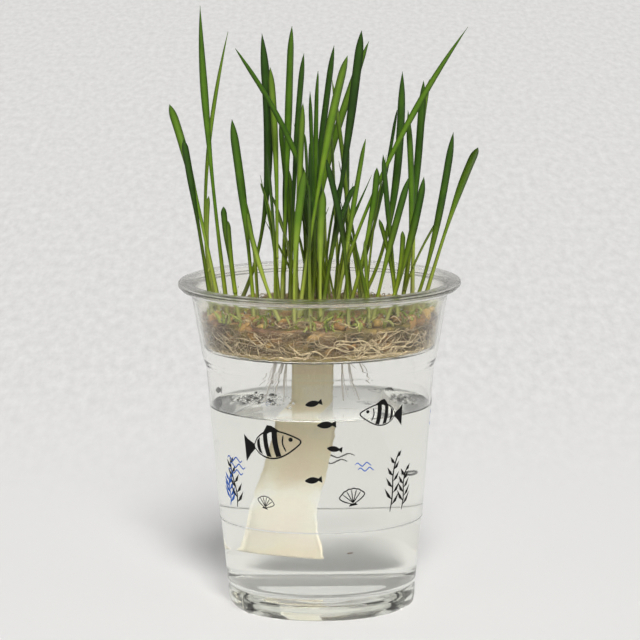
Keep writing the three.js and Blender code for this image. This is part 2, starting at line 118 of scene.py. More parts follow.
ROOTING_HEIGHT = SEED_BED_BOTTOM + 0.5
FOOT_RADIUS = 0.82
NECK_RADIUS = 0.6
NECK_SHARE = 0.3
BLADE_OPENING = (0.36, 0.72)
POINT_SHARE = 0.12
SIDE_LEAF_EVERY = 4
SIDE_LEAF_START = 0.2
SIDE_LEAF_TURNS = range(6)
SIDE_LEAF_OPENING = (0, 0.3)
SHOOT_CLEARANCE = 3.3
FILLER_COUNT = 17
FINE_LEAF_COUNT = 18
FILLER_CENTRE = -2
FILLER_SPREAD = (15, 33)
FILLER_REACH = 35.9
FILLER_HEIGHT = (38, 70)

# One entry per shoot: where it roots, its middle, its tip, the blade's width, its face's turn, and
# its tapering share where that isn't the usual.
SHOOTS = [
    ((-31.5, -9), (-37.6, -12, 164), (-40.1, -14, 212), 3, 10, 0.4),
    ((-35.5, 8), (-39.5, 11, 143), (-31.2, 16, 200), 2.2, 60, 0.3),
    ((-34, -3), (-43.5, 1, 148), (-51.9, 18, 174.5), 2.8, -20),
    ((-36.6, -10), (-42.5, -12, 142), (-46.3, -14, 166), 2.4, 30),
    ((-22.3, -21), (-25, -18, 136), (-29.6, -15, 173), 3, 0),
    ((-27.1, -22), (-31, -21, 128), (-32.7, -20, 143.5), 2.2, 20),
    ((-12.5, -28), (-19.5, -27, 121), (-24.6, -26, 142), 2.2, 10),
    ((-1, -7), (-4, -9, 149), (-28.3, -12, 197), 2.6, 15),
    ((-30, 5), (-18.5, 6, 141), (-19.3, 9, 200), 3.2, -5),
    ((-15.5, 1), (-14.6, 1, 150), (-16.5, 2, 189), 2.4, 40),
    ((-13.3, 10), (-11, 12, 154), (-8.9, 14, 202), 3, 5),
    ((-10.4, -3), (-8.4, -2, 150), (-4.8, -1, 194), 2.4, 30),
    ((-8.4, -14), (-7.2, -14, 140), (-5.2, -15, 178.5), 2.2, -30),
    ((-3, 3), (-2, 4, 138), (-2.8, 6, 180), 1.8, 70),
    ((-0.5, 15), (-1, 15, 141), (0, 16, 186), 2.6, 20),
    ((-6, 22), (-0.5, 22, 148), (5.7, 20, 194.5), 2.6, 10),
    ((-7.5, -20), (1.2, -18, 156), (10.2, -14, 194.5), 3.2, 0),
    ((0, -25), (8.8, -22, 158), (15, -18, 203.5), 3, 5),
    ((0, 29), (0.5, 28, 140), (17.9, 24, 195.5), 2.6, 10),
    ((7.6, 11), (10.3, 10, 134), (4.9, 9, 183.5), 2, 50),
    ((5, -12), (10.2, -13, 132), (16.2, -12, 165.5), 2.4, 20),
    ((26.8, -20), (24.6, -20, 131), (22.1, -20, 161), 2.2, 30),
    ((8.6, -18), (17, -17, 134), (20, -15.5, 156), 2.2, 15),
    ((11, 4), (24.5, 6, 134), (29.3, 8, 186.5), 3, 5),
    ((10.3, 20), (20.8, 19, 137), (27.5, 18, 172), 2, 45),
    ((26.5, -4), (31.8, -3, 130), (31, -1, 174), 2.4, 25),
    ((3.5, -2), (23.5, -8, 156), (51.5, -13, 204), 2.2, -35, 0.35),
    ((28.5, 9), (33.2, 10, 140), (36.7, 11, 183), 2.6, 10),
    ((32.5, 16), (34.3, 18, 147), (38.9, 19, 182.5), 2.2, 30),
    ((22, -24), (29.6, -24.5, 126), (36, -22, 153.5), 3, 0),
    ((17.5, -27), (22.8, -27.5, 125), (30.8, -26, 154), 2.4, 10),
    ((30.5, -9), (38.8, -10, 127), (46.4, -11, 167.5), 2.6, 0),
    ((35, 1), (46, -5, 139), (54.4, -26, 164), 2.8, 10),
    ((16.8, -33), (16, -33, 114), (12.5, -33, 131), 1.8, 20),
    ((9.7, -33), (8.2, -32, 133), (2.5, -31, 161), 2.2, 15),
]

# ---- camera, floor and light -----------------------------------------------------------------

CAMERA_DISTANCE = 1800
CAMERA_ELEVATION = math.radians(8.98)
CAMERA_ROLL = math.radians(-0.42)
CAMERA_AIM = (0.09, 0, 100.74)
CAMERA_LENS = 291.15
CAMERA_SENSOR = 36
FLOOR_SPAN = 16000
LAMP_COLOUR = (1, 0.985, 0.96)
# Each lamp: its name, strength, width in degrees, direction, and whether it shows in reflections.
LAMPS = [
    ("key", 1.95, 10, (0.065, -0.735, 0.77), True),
    ("low", 1.25, 12, (0.065, -0.82, 0.575), False),
]
WORLD_STRENGTH = 0.35
WORLD_STRENGTH_SEEN_THROUGH = 0.42


def link(obj):
    bpy.context.scene.collection.objects.link(obj)
    return obj


def make_camera():
    data = bpy.data.cameras.new("camera")
    data.lens = CAMERA_LENS
    data.sensor_width = CAMERA_SENSOR
    data.clip_start = 0.1
    data.clip_end = 60
    ahead = Vector((0, math.cos(CAMERA_ELEVATION), -math.sin(CAMERA_ELEVATION)))
    level_right = Vector((1, 0, 0))
    level_up = level_right.cross(ahead)
    right = level_right * math.cos(CAMERA_ROLL) + level_up * math.sin(CAMERA_ROLL)
    up = right.cross(ahead)
    camera = link(bpy.data.objects.new("camera", data))
    place = (Vector(CAMERA_AIM) - ahead * CAMERA_DISTANCE) * MM
    turned = Matrix((right, up, -ahead)).transposed().to_4x4()
    camera.matrix_world = Matrix.Translation(place) @ turned
    bpy.context.scene.camera = camera


def make_floor():
    half = FLOOR_SPAN / 2 * MM
    mesh = bpy.data.meshes.new("floor")
    corners = [(-half, -half, 0), (half, -half, 0), (half, half, 0), (-half, half, 0)]
    mesh.from_pydata(corners, [], [(0, 1, 2, 3)])
    floor = link(bpy.data.objects.new("floor", mesh))
    mesh.materials.append(paper_material())


def make_lamp(name, energy, degrees, direction, glossy):
    """A wide, soft lamp far away. It isn't seen through the clear parts."""
    sun = bpy.data.lights.new(name, "SUN")
    sun.energy = energy
    sun.angle = math.radians(degrees)
    sun.color = LAMP_COLOUR
    lamp = link(bpy.data.objects.new(name, sun))
    lamp.rotation_euler = Vector(direction).to_track_quat("Z", "Y").to_euler()
    lamp.visible_transmission = False
    lamp.visible_glossy = glossy


def make_world():
    """Plain pale surroundings, brighter where they are seen through the clear parts."""
    world = bpy.data.worlds.new("studio")
    bpy.context.scene.world = world
    nodes = Nodes(world)
    direction = nodes.add("TexCoord").outputs["Generated"]
    behind = nodes.math("MULTIPLY_ADD", nodes.axis(direction, 1), 0.5, 0.5)
    around = nodes.ramp(behind, (0.1, 1), (0.5, 0.95), (0.9, 1))
    above = nodes.ramp(nodes.axis(direction, 2), (0.2, 0), (0.9, 1))
    through = nodes.add("LightPath").outputs["Is Transmission Ray"]
    extra = nodes.math("MULTIPLY", through, WORLD_STRENGTH_SEEN_THROUGH)
    strength = nodes.math("ADD", extra, WORLD_STRENGTH)
    colour = nodes.mix(above, around, 0.95)
    nodes.feed(nodes.tree.nodes["Background"], {"Color": colour, "Strength": strength})


# ---- nodes -----------------------------------------------------------------------------------


def as_colour(value):
    """A colour with its alpha. A plain number is a grey."""
    return (*value, 1) if isinstance(value, tuple) else (value, value, value, 1)


class Nodes:
    """The shader nodes of one material or world. Inputs are values or other nodes' outputs."""

    def __init__(self, owner):
        owner.use_nodes = True
        self.owner = owner
        self.tree = owner.node_tree

    def feed(self, node, inputs):
        """Fills a node's inputs, given by name or number."""
        for key, value in inputs.items():
            socket = node.inputs[key]
            if isinstance(value, bpy.types.NodeSocket):
                self.tree.links.new(value, socket)
            else:
                socket.default_value = as_colour(value) if socket.type == "RGBA" else value
        return node

    def add(self, kind, inputs=None):
        return self.feed(self.tree.nodes.new("ShaderNode" + kind), inputs or {})

    def axis(self, vector, index):
        return self.add("SeparateXYZ", {0: vector}).outputs[index]

    def coordinates(self):
        return self.add("TexCoord").outputs["Object"]

    def attribute(self, name):
        node = self.add("Attribute")
        node.attribute_name = name
        return node.outputs["Fac"]

    def math(self, operation, *values):
        node = self.add("Math")
        node.operation = operation
        return self.feed(node, dict(enumerate(values))).outputs[0]

    def mix(self, factor, first, second, blend_type="MIX"):
        node = self.add("Mix")
        node.data_type = "RGBA"
        node.blend_type = blend_type
        return self.feed(node, {0: factor, 6: first, 7: second}).outputs[2]

    def ramp(self, factor, *stops):
        """Colours along a factor, from stops of a place and a colour."""
        node = self.add("ValToRGB")
        elements = node.color_ramp.elements
        while len(elements) < len(stops):
            elements.new(0.5)
        for element, (place, colour) in zip(elements, stops):
            element.position = place
            element.color = as_colour(colour)
        return self.feed(node, {"Fac": factor}).outputs["Color"]

    def darken(self, share, colour, pattern, *stops):
        """A colour multiplied, to a share, by a ramp along a pattern."""
        return self.mix(share, colour, self.ramp(pattern, *stops), "MULTIPLY")

    def noise(self, scale, detail=3, roughness=0.5, stretch=None):
        """Noise over the object's own coordinates, in features per metre."""
        vector = self.coordinates()
        if stretch:
            vector = self.add("Mapping", {"Scale": stretch, "Vector": vector}).outputs["Vector"]
        inputs = {"Scale": scale, "Detail": detail, "Roughness": roughness, "Vector": vector}
        return self.add("TexNoise", inputs).outputs["Fac"]

    def vary(self, value, scale, amount):
        """A value that noise moves up and down."""
        pattern = self.math("SUBTRACT", self.noise(scale), 0.5)
        return self.math("ADD", value, self.math("MULTIPLY", pattern, amount))

    def bump(self, height, distance, strength=1.0):
        """A bump normal. distance is in millimetres."""
        inputs = {"Strength": strength, "Distance": distance * MM, "Height": height}
        return self.add("Bump", inputs).outputs["Normal"]

    def principled(self, **values):
        """A Principled shader. Values go by socket name with _ for a space."""
        inputs = {name.replace("_", " "): value for name, value in values.items()}
        return self.add("BsdfPrincipled", inputs).outputs[0]

    def mix_shaders(self, factor, first, second):
        return self.add("MixShader", {0: factor, 1: first, 2: second}).outputs[0]

    def glowing(self, share, shader, colour):
        """The shader with a share of light that comes through from behind."""
        glow = self.add("BsdfTranslucent", {"Color": colour}).outputs[0]
        return self.mix_shaders(share, shader, glow)

    def surface(self, shader):
        """Gives the material its surface and returns the material."""
        self.add("OutputMaterial", {"Surface": shader})
        return self.owner


def new_material(name):
    """The nodes of a new material, with none in it yet."""
    nodes = Nodes(bpy.data.materials.new(name))
    nodes.tree.nodes.clear()
    return nodes


# ---- materials -------------------------------------------------------------------------------


def paper_material():
    """Pale paper under the cup, a little darker and mottled further back."""
    nodes = new_material("pale_floor")
    depth = nodes.axis(nodes.coordinates(), 1)
    share = nodes.math("DIVIDE", nodes.math("ADD", depth, 0.2), 2.4)
    shade = nodes.ramp(share, (0, 0.815), (0.16, 0.785), (0.35, 0.765), (1, 0.75))
    further = nodes.ramp(depth, (0.18, 0), (0.5, 0.55))
    mottle = nodes.noise(260, 3, 0.6, stretch=(1, 0.17, 1))
    mottled = nodes.darken(1.0, shade, mottle, (0.28, 0.80), (0.72, 1.10))
    colour = nodes.mix(further, shade, mottled)
    paper = nodes.principled(Base_Color=colour, Roughness=0.85, Specular_IOR_Level=0.2)
    return nodes.surface(paper)


CLEAR_RIPPLE_SCALE = 60
DULL_RIM_START = 0.108
DULL_RIM_HEIGHT = 0.005


def clear_material(name, tint, ior, roughness, shadow, ripple=0.0, rim_roughness=None):
    """Clear glass-like stuff with a pale shadow, rippled, and duller towards its rim."""
    nodes = new_material(name)
    clear = nodes.principled(
        Base_Color=tint, Roughness=roughness, IOR=ior, Transmission_Weight=1.0
    )
    if ripple:
        waves = nodes.noise(CLEAR_RIPPLE_SCALE, 2)
        nodes.feed(clear.node, {"Normal": nodes.bump(waves, ripple)})
    if rim_roughness:
        above = nodes.math("SUBTRACT", nodes.axis(nodes.coordinates(), 2), DULL_RIM_START)
        share = nodes.math("DIVIDE", above, DULL_RIM_HEIGHT)
        dullness = nodes.ramp(share, (0, roughness), (1, rim_roughness))
        nodes.feed(clear.node, {"Roughness": dullness})
    through = nodes.add("BsdfTransparent", {"Color": shadow}).outputs[0]
    shadow_ray = nodes.add("LightPath").outputs["Is Shadow Ray"]
    return nodes.surface(nodes.mix_shaders(shadow_ray, clear, through))


def ridge_painted_highlight_material():
    """White, dull plastic that lets some light through, on the clear cup: its whiteness is a
    painted highlight, a bright line round the cup's shoulder.
    """
    nodes = new_material("ridge_painted_highlight")
    dull = nodes.principled(Base_Color=0.97, Roughness=0.45, IOR=1.3, Transmission_Weight=0.7)
    return nodes.surface(nodes.glowing(0.2, dull, (0.95, 0.95, 0.93)))


def felt_material():
    """Cream felt, stained tan where it stands above the water and bleached below it."""
    nodes = new_material("felt")
    height = nodes.axis(nodes.coordinates(), 2)
    height = nodes.math("ADD", height, nodes.math("MULTIPLY", nodes.noise(140), 0.012))
    stain = nodes.ramp(
        nodes.math("DIVIDE", height, 0.1),
        (0.15, (0.90, 0.84, 0.72)),
        (0.25, (0.92, 0.89, 0.78)),
        (0.33, (0.98, 0.98, 0.94)),
        (0.46, (0.97, 0.97, 0.92)),
        (0.53, (0.86, 0.81, 0.65)),
        (0.70, (0.90, 0.81, 0.60)),
        (0.78, (0.99, 0.92, 0.70)),
        (0.95, (0.99, 0.90, 0.67)),
    )
    patches = [(0.38, 1), (0.5, (1, 0.97, 0.86)), (0.64, (0.98, 0.90, 0.80))]
    stain = nodes.darken(0.8, stain, nodes.noise(70, 2), *patches)
    fibres = nodes.noise(2600, 4, 0.7)
    colour = nodes.darken(0.22, stain, fibres, (0.25, 0.3), (0.7, 1))
    normal = nodes.bump(fibres, 0.25, 0.8)
    felt = nodes.principled(Base_Color=colour, Roughness=0.95, Sheen_Weight=0.25, Normal=normal)
    return nodes.surface(felt)


def root_material(name, light, dark, wetness, glow_share=0.2):
    """Wet roots from pale to brown by the tone of each strand, which let some light through."""
    nodes = new_material(name)
    tone = nodes.vary(nodes.attribute("tone"), 420, 0.7)
    colour = nodes.ramp(tone, (0.1, dark), (0.9, light))
    root = nodes.principled(Base_Color=colour, Roughness=1 - wetness, IOR=1.33)
    return nodes.surface(nodes.glowing(glow_share, root, colour))


def mat_material():
    """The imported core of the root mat: purple-brown, olive and tan, and yellower at its foot."""
    nodes = new_material("packed_roots")
    clumps = nodes.noise(150, 4, 0.6)
    patches = nodes.noise(60, 2)
    fine = nodes.noise(1300, 3, 0.6, stretch=(1, 1, 2.5))
    dark = nodes.ramp(patches, (0.40, (0.050, 0.028, 0.018)), (0.60, (0.075, 0.060, 0.010)))
    light = nodes.ramp(patches, (0.40, (0.33, 0.18, 0.10)), (0.60, (0.34, 0.265, 0.075)))
    colour = nodes.mix(nodes.ramp(clumps, (0.36, 0), (0.66, 1)), dark, light)
    above_foot = nodes.math("SUBTRACT", nodes.axis(nodes.coordinates(), 2), 0.0927)
    foot = nodes.ramp(nodes.math("DIVIDE", above_foot, 0.0025), (0.2, 0.85), (1, 0))
    colour = nodes.mix(foot, colour, (0.62, 0.47, 0.17))
    colour = nodes.darken(0.55, colour, fine, (0.35, 0.4), (0.65, 1))
    normal = nodes.bump(fine, 0.5, 0.7)
    return nodes.surface(nodes.principled(Base_Color=colour, Roughness=0.5, Normal=normal))


def grain_material():
    """Wet sprouted wheat, from red-brown to tan by the tone of each grain."""
    nodes = new_material("grain")
    colour = nodes.ramp(
        nodes.attribute("tone"),
        (0, (0.130, 0.060, 0.022)),
        (0.45, (0.340, 0.190, 0.065)),
        (0.8, (0.500, 0.335, 0.100)),
        (1, (0.720, 0.520, 0.200)),
    )
    skin = nodes.noise(900, 4, 0.6)
    colour = nodes.darken(0.55, colour, skin, (0.3, 0.35), (0.7, 1))
    normal = nodes.bump(skin, 0.2, 0.6)
    return nodes.surface(nodes.principled(Base_Color=colour, Roughness=0.38, Normal=normal))


def ink_material(name, colour):
    nodes = new_material(name)
    ink = nodes.principled(Base_Color=colour, Roughness=0.6, Specular_IOR_Level=0.1)
    return nodes.surface(ink)


def blade_material():
    """A young wheat leaf: pale at its foot, darker to tip and edges, with fine veins along it. The
    darker edges paint shade along the two sides of each round stem.
    """
    nodes = new_material("blade")
    height = nodes.attribute("height")
    across = nodes.attribute("across")
    shade = nodes.vary(nodes.attribute("tone"), 160, 0.5)
    green = nodes.ramp(
        shade,
        (0, (0.008, 0.028, 0.003)),
        (0.3, (0.034, 0.105, 0.006)),
        (0.62, (0.115, 0.260, 0.010)),
        (1, (0.270, 0.430, 0.030)),
    )
    tip = nodes.ramp(nodes.attribute("along"), (0.45, 0), (1, 0.6))
    green = nodes.mix(tip, green, (0.035, 0.105, 0.010))
    lower = nodes.math("DIVIDE", height, 40.0)
    foot = nodes.ramp(lower, (0, 1), (0.3, 0.9), (0.65, 0.42), (1, 0.05))
    stem = nodes.ramp(
        shade, (0, (0.12, 0.19, 0.008)), (0.5, (0.33, 0.43, 0.025)), (1, (0.62, 0.70, 0.15))
    )
    colour = nodes.mix(foot, green, stem)
    sprout = nodes.ramp(nodes.math("DIVIDE", height, 12.0), (0.1, 0.9), (1, 0))
    colour = nodes.mix(sprout, colour, (0.52, 0.50, 0.22))
    veins = nodes.math("SINE", nodes.math("MULTIPLY", across, 26.0))
    lightness = nodes.math("MULTIPLY_ADD", veins, 0.5, 0.5)
    colour = nodes.darken(0.6, colour, lightness, (0, 0.78), (1, 1))
    # Darker towards the edges; along the sides of the round stems this is painted shade.
    colour = nodes.darken(1.0, colour, nodes.math("ABSOLUTE", across), (0.35, 1), (1, 0.3))
    leaf = nodes.principled(
        Base_Color=colour,
        Roughness=0.45,
        Specular_IOR_Level=0.3,
        Normal=nodes.bump(veins, 0.03, 0.5),
    )
    return nodes.surface(nodes.glowing(0.22, leaf, nodes.mix(0.5, colour, (0.20, 0.36, 0.02))))


# ---- mesh helpers ----------------------------------------------------------------------------


class Shape:
    """Vertices, faces and values of each vertex, gathered part by part."""

    def __init__(self):
        self.vertices = []
        self.faces = []
        self.values = {}
        self.count = 0

    def add(self, vertices, faces, **values):
        vertices = np.asarray(vertices, float).reshape(-1, 3)
        self.vertices.append(vertices)
        self.faces.extend([[i + self.count for i in face] for face in faces])
        for name, value in values.items():
            filled = np.broadcast_to(np.asarray(value, float), (len(vertices),))
            self.values.setdefault(name, []).append(filled)
        self.count += len(vertices)

    def add_rings(self, rings, **values):
        """A closed body through rings of points, with flat ends."""
        rings = np.asarray(rings, float)
        count, sides = rings.shape[:2]
        low = tuple(range(sides - 1, -1, -1))
        high = tuple(range((count - 1) * sides, count * sides))
        self.add(rings, [*side_faces(count, sides), low, high], **values)


def add_piece(name, shape, material, smooth=True):
    mesh = bpy.data.meshes.new(name)
    mesh.from_pydata((np.concatenate(shape.vertices) * MM).tolist(), [], shape.faces)
    mesh.polygons.foreach_set("use_smooth", [smooth] * len(mesh.polygons))
    for value_name, parts in shape.values.items():
        layer = mesh.attributes.new(value_name, "FLOAT", "POINT")
        layer.data.foreach_set("value", np.concatenate(parts).astype(np.float32))
    mesh.materials.append(material)
    mesh.update()
    return link(bpy.data.objects.new(name, mesh))


def crease(piece, degrees):
    """Lets edges that bend by more than this shade sharp."""
    piece.data.set_sharp_from_angle(angle=math.radians(degrees))


def place_piece(piece, slot_name, *nodes):
    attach(piece, BODY)
    if nodes:
        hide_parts(*nodes)
    return piece


def blend(a, b, share):
    return a + (b - a) * share


def ramp(value, low, high):
    share = min(max((value - low) / (high - low), 0), 1)
    return share * share * (3 - 2 * share)


def normal_of(first, second):
    dr, dz = second[0] - first[0], second[1] - first[1]
    length = math.hypot(dr, dz)
    return (-dz / length, dr / length) if length else None


def offset(outline, distance):
    """The outline moved sideways, to the left of its own direction."""
    moved = []
    for i, (r, z) in enumerate(outline):
        before = outline[max(i - 1, 0)]
        after = outline[min(i + 1, len(outline) - 1)]
        first = normal_of(before, (r, z)) or normal_of((r, z), after)
        second = normal_of((r, z), after) or first
        scale = distance / (1 + first[0] * second[0] + first[1] * second[1])
        moved_r = max(r + (first[0] + second[0]) * scale, 0)
        moved.append((moved_r, z + (first[1] + second[1]) * scale))
    return moved


def rounded(outline, radius, steps=5):
    """The outline with every inner corner drawn as a short curve."""
    smooth = [outline[0]]
    for before, corner, after in zip(outline, outline[1:], outline[2:]):
        reach_in = min(radius, 0.45 * math.dist(before, corner)) / math.dist(before, corner)
        reach_out = min(radius, 0.45 * math.dist(corner, after)) / math.dist(corner, after)
        start = np.array(corner) + (np.array(before) - corner) * reach_in
        end = np.array(corner) + (np.array(after) - corner) * reach_out
        for k in range(steps + 1):
            t = k / steps
            point = (1 - t) ** 2 * start + 2 * t * (1 - t) * np.array(corner) + t * t * end
            smooth.append(tuple(point))
    smooth.append(outline[-1])
    return smooth

SUPPORT_MARGIN = 0.3


def supported(outline):
    """The outline with a point close to each end of its long stretches, for straight shading."""
    points = [outline[0]]
    for start, end in zip(outline, outline[1:]):
        length = math.dist(start, end)
        if length > 3 * SUPPORT_MARGIN:
            for share in (SUPPORT_MARGIN / length, 1 - SUPPORT_MARGIN / length):
                points.append((blend(start[0], end[0], share), blend(start[1], end[1], share)))
        points.append(end)
    return points


def radius_at(outline, z):
    for (r0, z0), (r1, z1) in zip(outline[::-1][1:], outline[::-1]):
        if z0 <= z <= z1:
            return blend(r0, r1, (z - z0) / (z1 - z0))
    return outline[0][0]


def polar(r, turn, z):
    return (r * math.cos(turn), r * math.sin(turn), z)


def polar_path(r, turns, z):
    """Points along a path, from arrays or single values."""
    turns = np.asarray(turns)
    return np.stack([r * np.cos(turns), r * np.sin(turns), np.broadcast_to(z, turns.shape)], 1)


def circle_turns(count):
    return TURN * np.arange(count) / count


def side_faces(count, sides):
    """Faces between rings of points, each joined to the next."""
    faces = []
    for k in range(count - 1):
        for j in range(sides):
            a, b = k * sides + j, k * sides + (j + 1) % sides
            faces.append((a, b, b + sides, a + sides))
    return faces


def revolved(outline, sides):
    """An outline of (radius, height) turned about Z. Its two ends lie on the axis."""
    outline = supported(outline)
    turns = circle_turns(sides)
    rings = [polar_path(r, turns, z) for r, z in outline[1:-1]]
    faces = side_faces(len(rings), sides)
    first, last = len(rings) * sides, len(rings) * sides + 1
    top = (len(rings) - 1) * sides
    for j in range(sides):
        following = (j + 1) % sides
        faces.append((first, following, j))
        faces.append((last, top + j, top + following))
    poles = [(0, 0, outline[0][1]), (0, 0, outline[-1][1])]
    shape = Shape()
    shape.add(np.concatenate([*rings, poles]), faces)
    return shape


def unit(vectors):
    return vectors / np.linalg.norm(vectors, axis=1)[:, None]


def tube(shape, path, radii, sides, **values):
    """A closed round tube along a path of points."""
    path = np.asarray(path, float)
    along = np.gradient(path, axis=0)
    along /= np.linalg.norm(along, axis=1)[:, None] + 1e-12
    helper = np.array([0.31, 0.52, 0.79])
    wide = np.cross(along, helper)
    wide /= np.linalg.norm(wide, axis=1)[:, None] + 1e-12
    thick = np.cross(along, wide)
    turns = circle_turns(sides)
    radii = np.broadcast_to(np.asarray(radii, float), (len(path),))[:, None, None]
    rings = (
        path[:, None]
        + radii * np.cos(turns)[None, :, None] * wide[:, None]
        + radii * np.sin(turns)[None, :, None] * thick[:, None]
    )
    shape.add_rings(rings, **values)


CURVE_STEPS = 40


def catmull_rom(points, count):
    """count + 1 points on a smooth curve through the points, evenly spread along it."""
    points = np.asarray(points, float)
    padded = np.vstack([2 * points[0] - points[1], points, 2 * points[-1] - points[-2]])
    fine = []
    for p0, p1, p2, p3 in zip(padded, padded[1:], padded[2:], padded[3:]):
        for k in range(CURVE_STEPS):
            t = k / CURVE_STEPS
            linear = 2 * p1 + (p2 - p0) * t
            square = (2 * p0 - 5 * p1 + 4 * p2 - p3) * t**2
            cubic = (3 * p1 - p0 - 3 * p2 + p3) * t**3
            fine.append(0.5 * (linear + square + cubic))
    fine.append(points[-1])
    fine = np.array(fine)
    lengths = np.linalg.norm(np.diff(fine, axis=0), axis=1)
    reached = np.concatenate([[0], np.cumsum(lengths)])
    wanted = np.linspace(0, reached[-1], count + 1)
    return np.stack([np.interp(wanted, reached, fine[:, i]) for i in range(3)], 1)


# ---- cup, tray and water ---------------------------------------------------------------------


def bead_arc():
    arc = []
    for degrees in range(-110, 151, 20):
        r, rise, _ = polar(CUP_BEAD_RADIUS, math.radians(degrees), 0)
        arc.append((CUP_BEAD_CENTRE[0] + r, CUP_BEAD_CENTRE[1] + rise))
    return arc


def with_groove(outline):
    """The cup's inside with a fine groove at its lower shoulder."""
    r = radius_at(outline, GROOVE_HEIGHT)
    steps = ((0, -0.7), (0.28, -0.3), (0.28, 0.3), (0, 0.7))
    groove = [(r + 0.19 * dz + deep, GROOVE_HEIGHT + dz) for deep, dz in steps]
    below = [point for point in outline if point[1] < GROOVE_HEIGHT - 0.9]
    above = [point for point in outline if point[1] > GROOVE_HEIGHT + 0.9]
    return [*below, *groove, *above]


def make_cup(material):
    outside = rounded(CUP_OUTSIDE, 1.4)
    inside = rounded(with_groove(offset(CUP_OUTSIDE, CUP_WALL)), 0.3)
    outline = [*outside, *bead_arc(), *inside[::-1]]
    cup = add_piece("clear_cup", revolved(outline, CUP_SIDES), material)
    place_piece(cup, "cup_plastic", "cup")

FOOT_RIB_DEGREES = (-147, -12)
FOOT_RIB_OUTLINE = ((29.4, 0.5), (30.6, 0.95), (32, 2.4), (32.4, 4.5), (32.6, 6.4))


def make_foot_ribs(material):
    """Two short upright ribs on the cup's foot, as the photo faintly shows them."""
    shape = Shape()
    for degrees in FOOT_RIB_DEGREES:
        turn = math.radians(degrees)
        path = [polar(r, turn, z) for r, z in FOOT_RIB_OUTLINE]
        tube(shape, catmull_rom(path, 16), 0.42, 10)
    place_piece(add_piece("foot_ribs", shape, material), "cup_plastic")


def make_shoulder_ridge(material):
    """A fine ridge round the cup at its lower shoulder, where the photo has a bright line."""
    shape = Shape()
    r = radius_at(CUP_OUTSIDE, RIDGE_HEIGHT)
    path = [polar(r, turn, RIDGE_HEIGHT) for turn in np.linspace(0, TURN, CUP_SIDES + 1)]
    tube(shape, path, 0.24, 8)
    place_piece(add_piece("shoulder_ridge", shape, material), "cup_plastic")


# How far from the cup's wall the water's climb is drawn.
MENISCUS_PLACES = (0, 0.2, 0.5, 0.9, 1.5, 2.4, 4)


def make_water(material):
    """The water, which climbs a little up the cup's wall."""
    bed = rounded(with_groove(offset(CUP_OUTSIDE, CUP_WALL - 0.06)), 0.3)
    below = [point for point in bed if point[1] < WATER_LEVEL - 0.5]
    wall = radius_at(bed, WATER_LEVEL + MENISCUS)
    rise = [(wall - d, WATER_LEVEL + MENISCUS * math.exp(-d / 0.9)) for d in MENISCUS_PLACES]
    outline = [*below, *rise, (0, WATER_LEVEL)]
    water = add_piece("water_body", revolved(outline, CUP_SIDES), material)
    crease(water, 40)
    place_piece(water, "water", "water")


CORNERS = ((1, 1), (-1, 1), (-1, -1), (1, -1))


def make_tray(material):
    outline = [TRAY_OUTLINE[0], *rounded(TRAY_OUTLINE, 0.8, 4)[1:-1], TRAY_OUTLINE[-1]]
    tray = add_piece("clear_insert_tray", revolved(outline, CUP_SIDES), material)
    cutters = Shape()
    half_x, half_y = WICK_WIDTH / 2 + 0.5, WICK_THICKNESS / 2 + 0.5
    x, y = WICK_ROUTE[0][:2]
    ends = (TRAY_FLOOR - 2, TRAY_FLOOR + 3)
    cutters.add_rings([[(x + sx * half_x, y + sy * half_y, z) for sx, sy in CORNERS] for z in ends])
    for (hole_x, hole_y), _ in HANGING_ROOTS:
        tube(cutters, [(hole_x, hole_y, z) for z in ends], ROOT_HOLE_RADIUS, 20)
    cutter = add_piece("cutter", cutters, material, smooth=False)
    cut = tray.modifiers.new("holes", "BOOLEAN")
    cut.operation = "DIFFERENCE"
    cut.solver = "EXACT"
    cut.object = cutter
    bake_modifiers(tray)
    bpy.data.objects.remove(cutter)
    place_piece(tray, "tray_plastic", "insert_tray")


def bake_modifiers(obj):
    """Replaces the object's mesh by what its modifiers make of it."""
    depsgraph = bpy.context.evaluated_depsgraph_get()
    mesh = bpy.data.meshes.new_from_object(obj.evaluated_get(depsgraph))
    obj.modifiers.clear()
    obj.data = mesh


# ---- wick ------------------------------------------------------------------------------------


def make_wick(material):
    """A strip of felt with two faces, soft edges and a slightly uneven, wavy surface."""
    across, along = 26, 150
    route = catmull_rom(WICK_ROUTE, along)
    length = np.linalg.norm(np.diff(route, axis=0), axis=1).sum()
    direction = unit(np.gradient(route, axis=0))
    wide = unit(np.array([1, 0, 0]) - direction * direction[:, :1])
    thick = np.cross(direction, wide)
    section = []
    for side in (1, -1):
        for j in range(across + 1):
            w = side * (1 - 2 * j / across)
            edge = (1 - abs(w) ** 8) ** 0.5
            section.append((w, side * edge))
    rings = []
    for k, centre in enumerate(route):
        ring = []
        slant = WICK_END_SLANT * ramp(k, along - 20, along)
        for w, t in section:
            spot = Vector((w * 4, k * 0.13, t * 0.2 + 3))
            fray = 0.25 * noise.noise(spot * 3.1) * abs(w) ** 6
            swell = 0.12 * noise.noise(spot * 1.7)
            half_width = WICK_WIDTH / 2 - 0.25 + fray
            half_thickness = WICK_THICKNESS / 2 - 0.1 + swell
            sideways = wide[k] * w * half_width + thick[k] * t * half_thickness
            ring.append(centre + sideways + direction[k] * w * slant)
        rings.append(ring)
    shape = Shape()
    shape.add_rings(rings)
    wick = add_piece("felt_wick", shape, material)
    place_piece(wick, "felt", "wick")
    return length


# ---- roots and grains ------------------------------------------------------------------------


def tray_inside(z):
    """The radius inside the tray's wall at height z, and at its foot below that."""
    (low_r, low_z), (high_r, high_z) = TRAY_SIDE_LOW, TRAY_SIDE_HIGH
    return blend(low_r, high_r, (max(z, low_z) - low_z) / (high_z - low_z))


def along_tray(heights):
    return np.array([tray_inside(z) for z in heights])


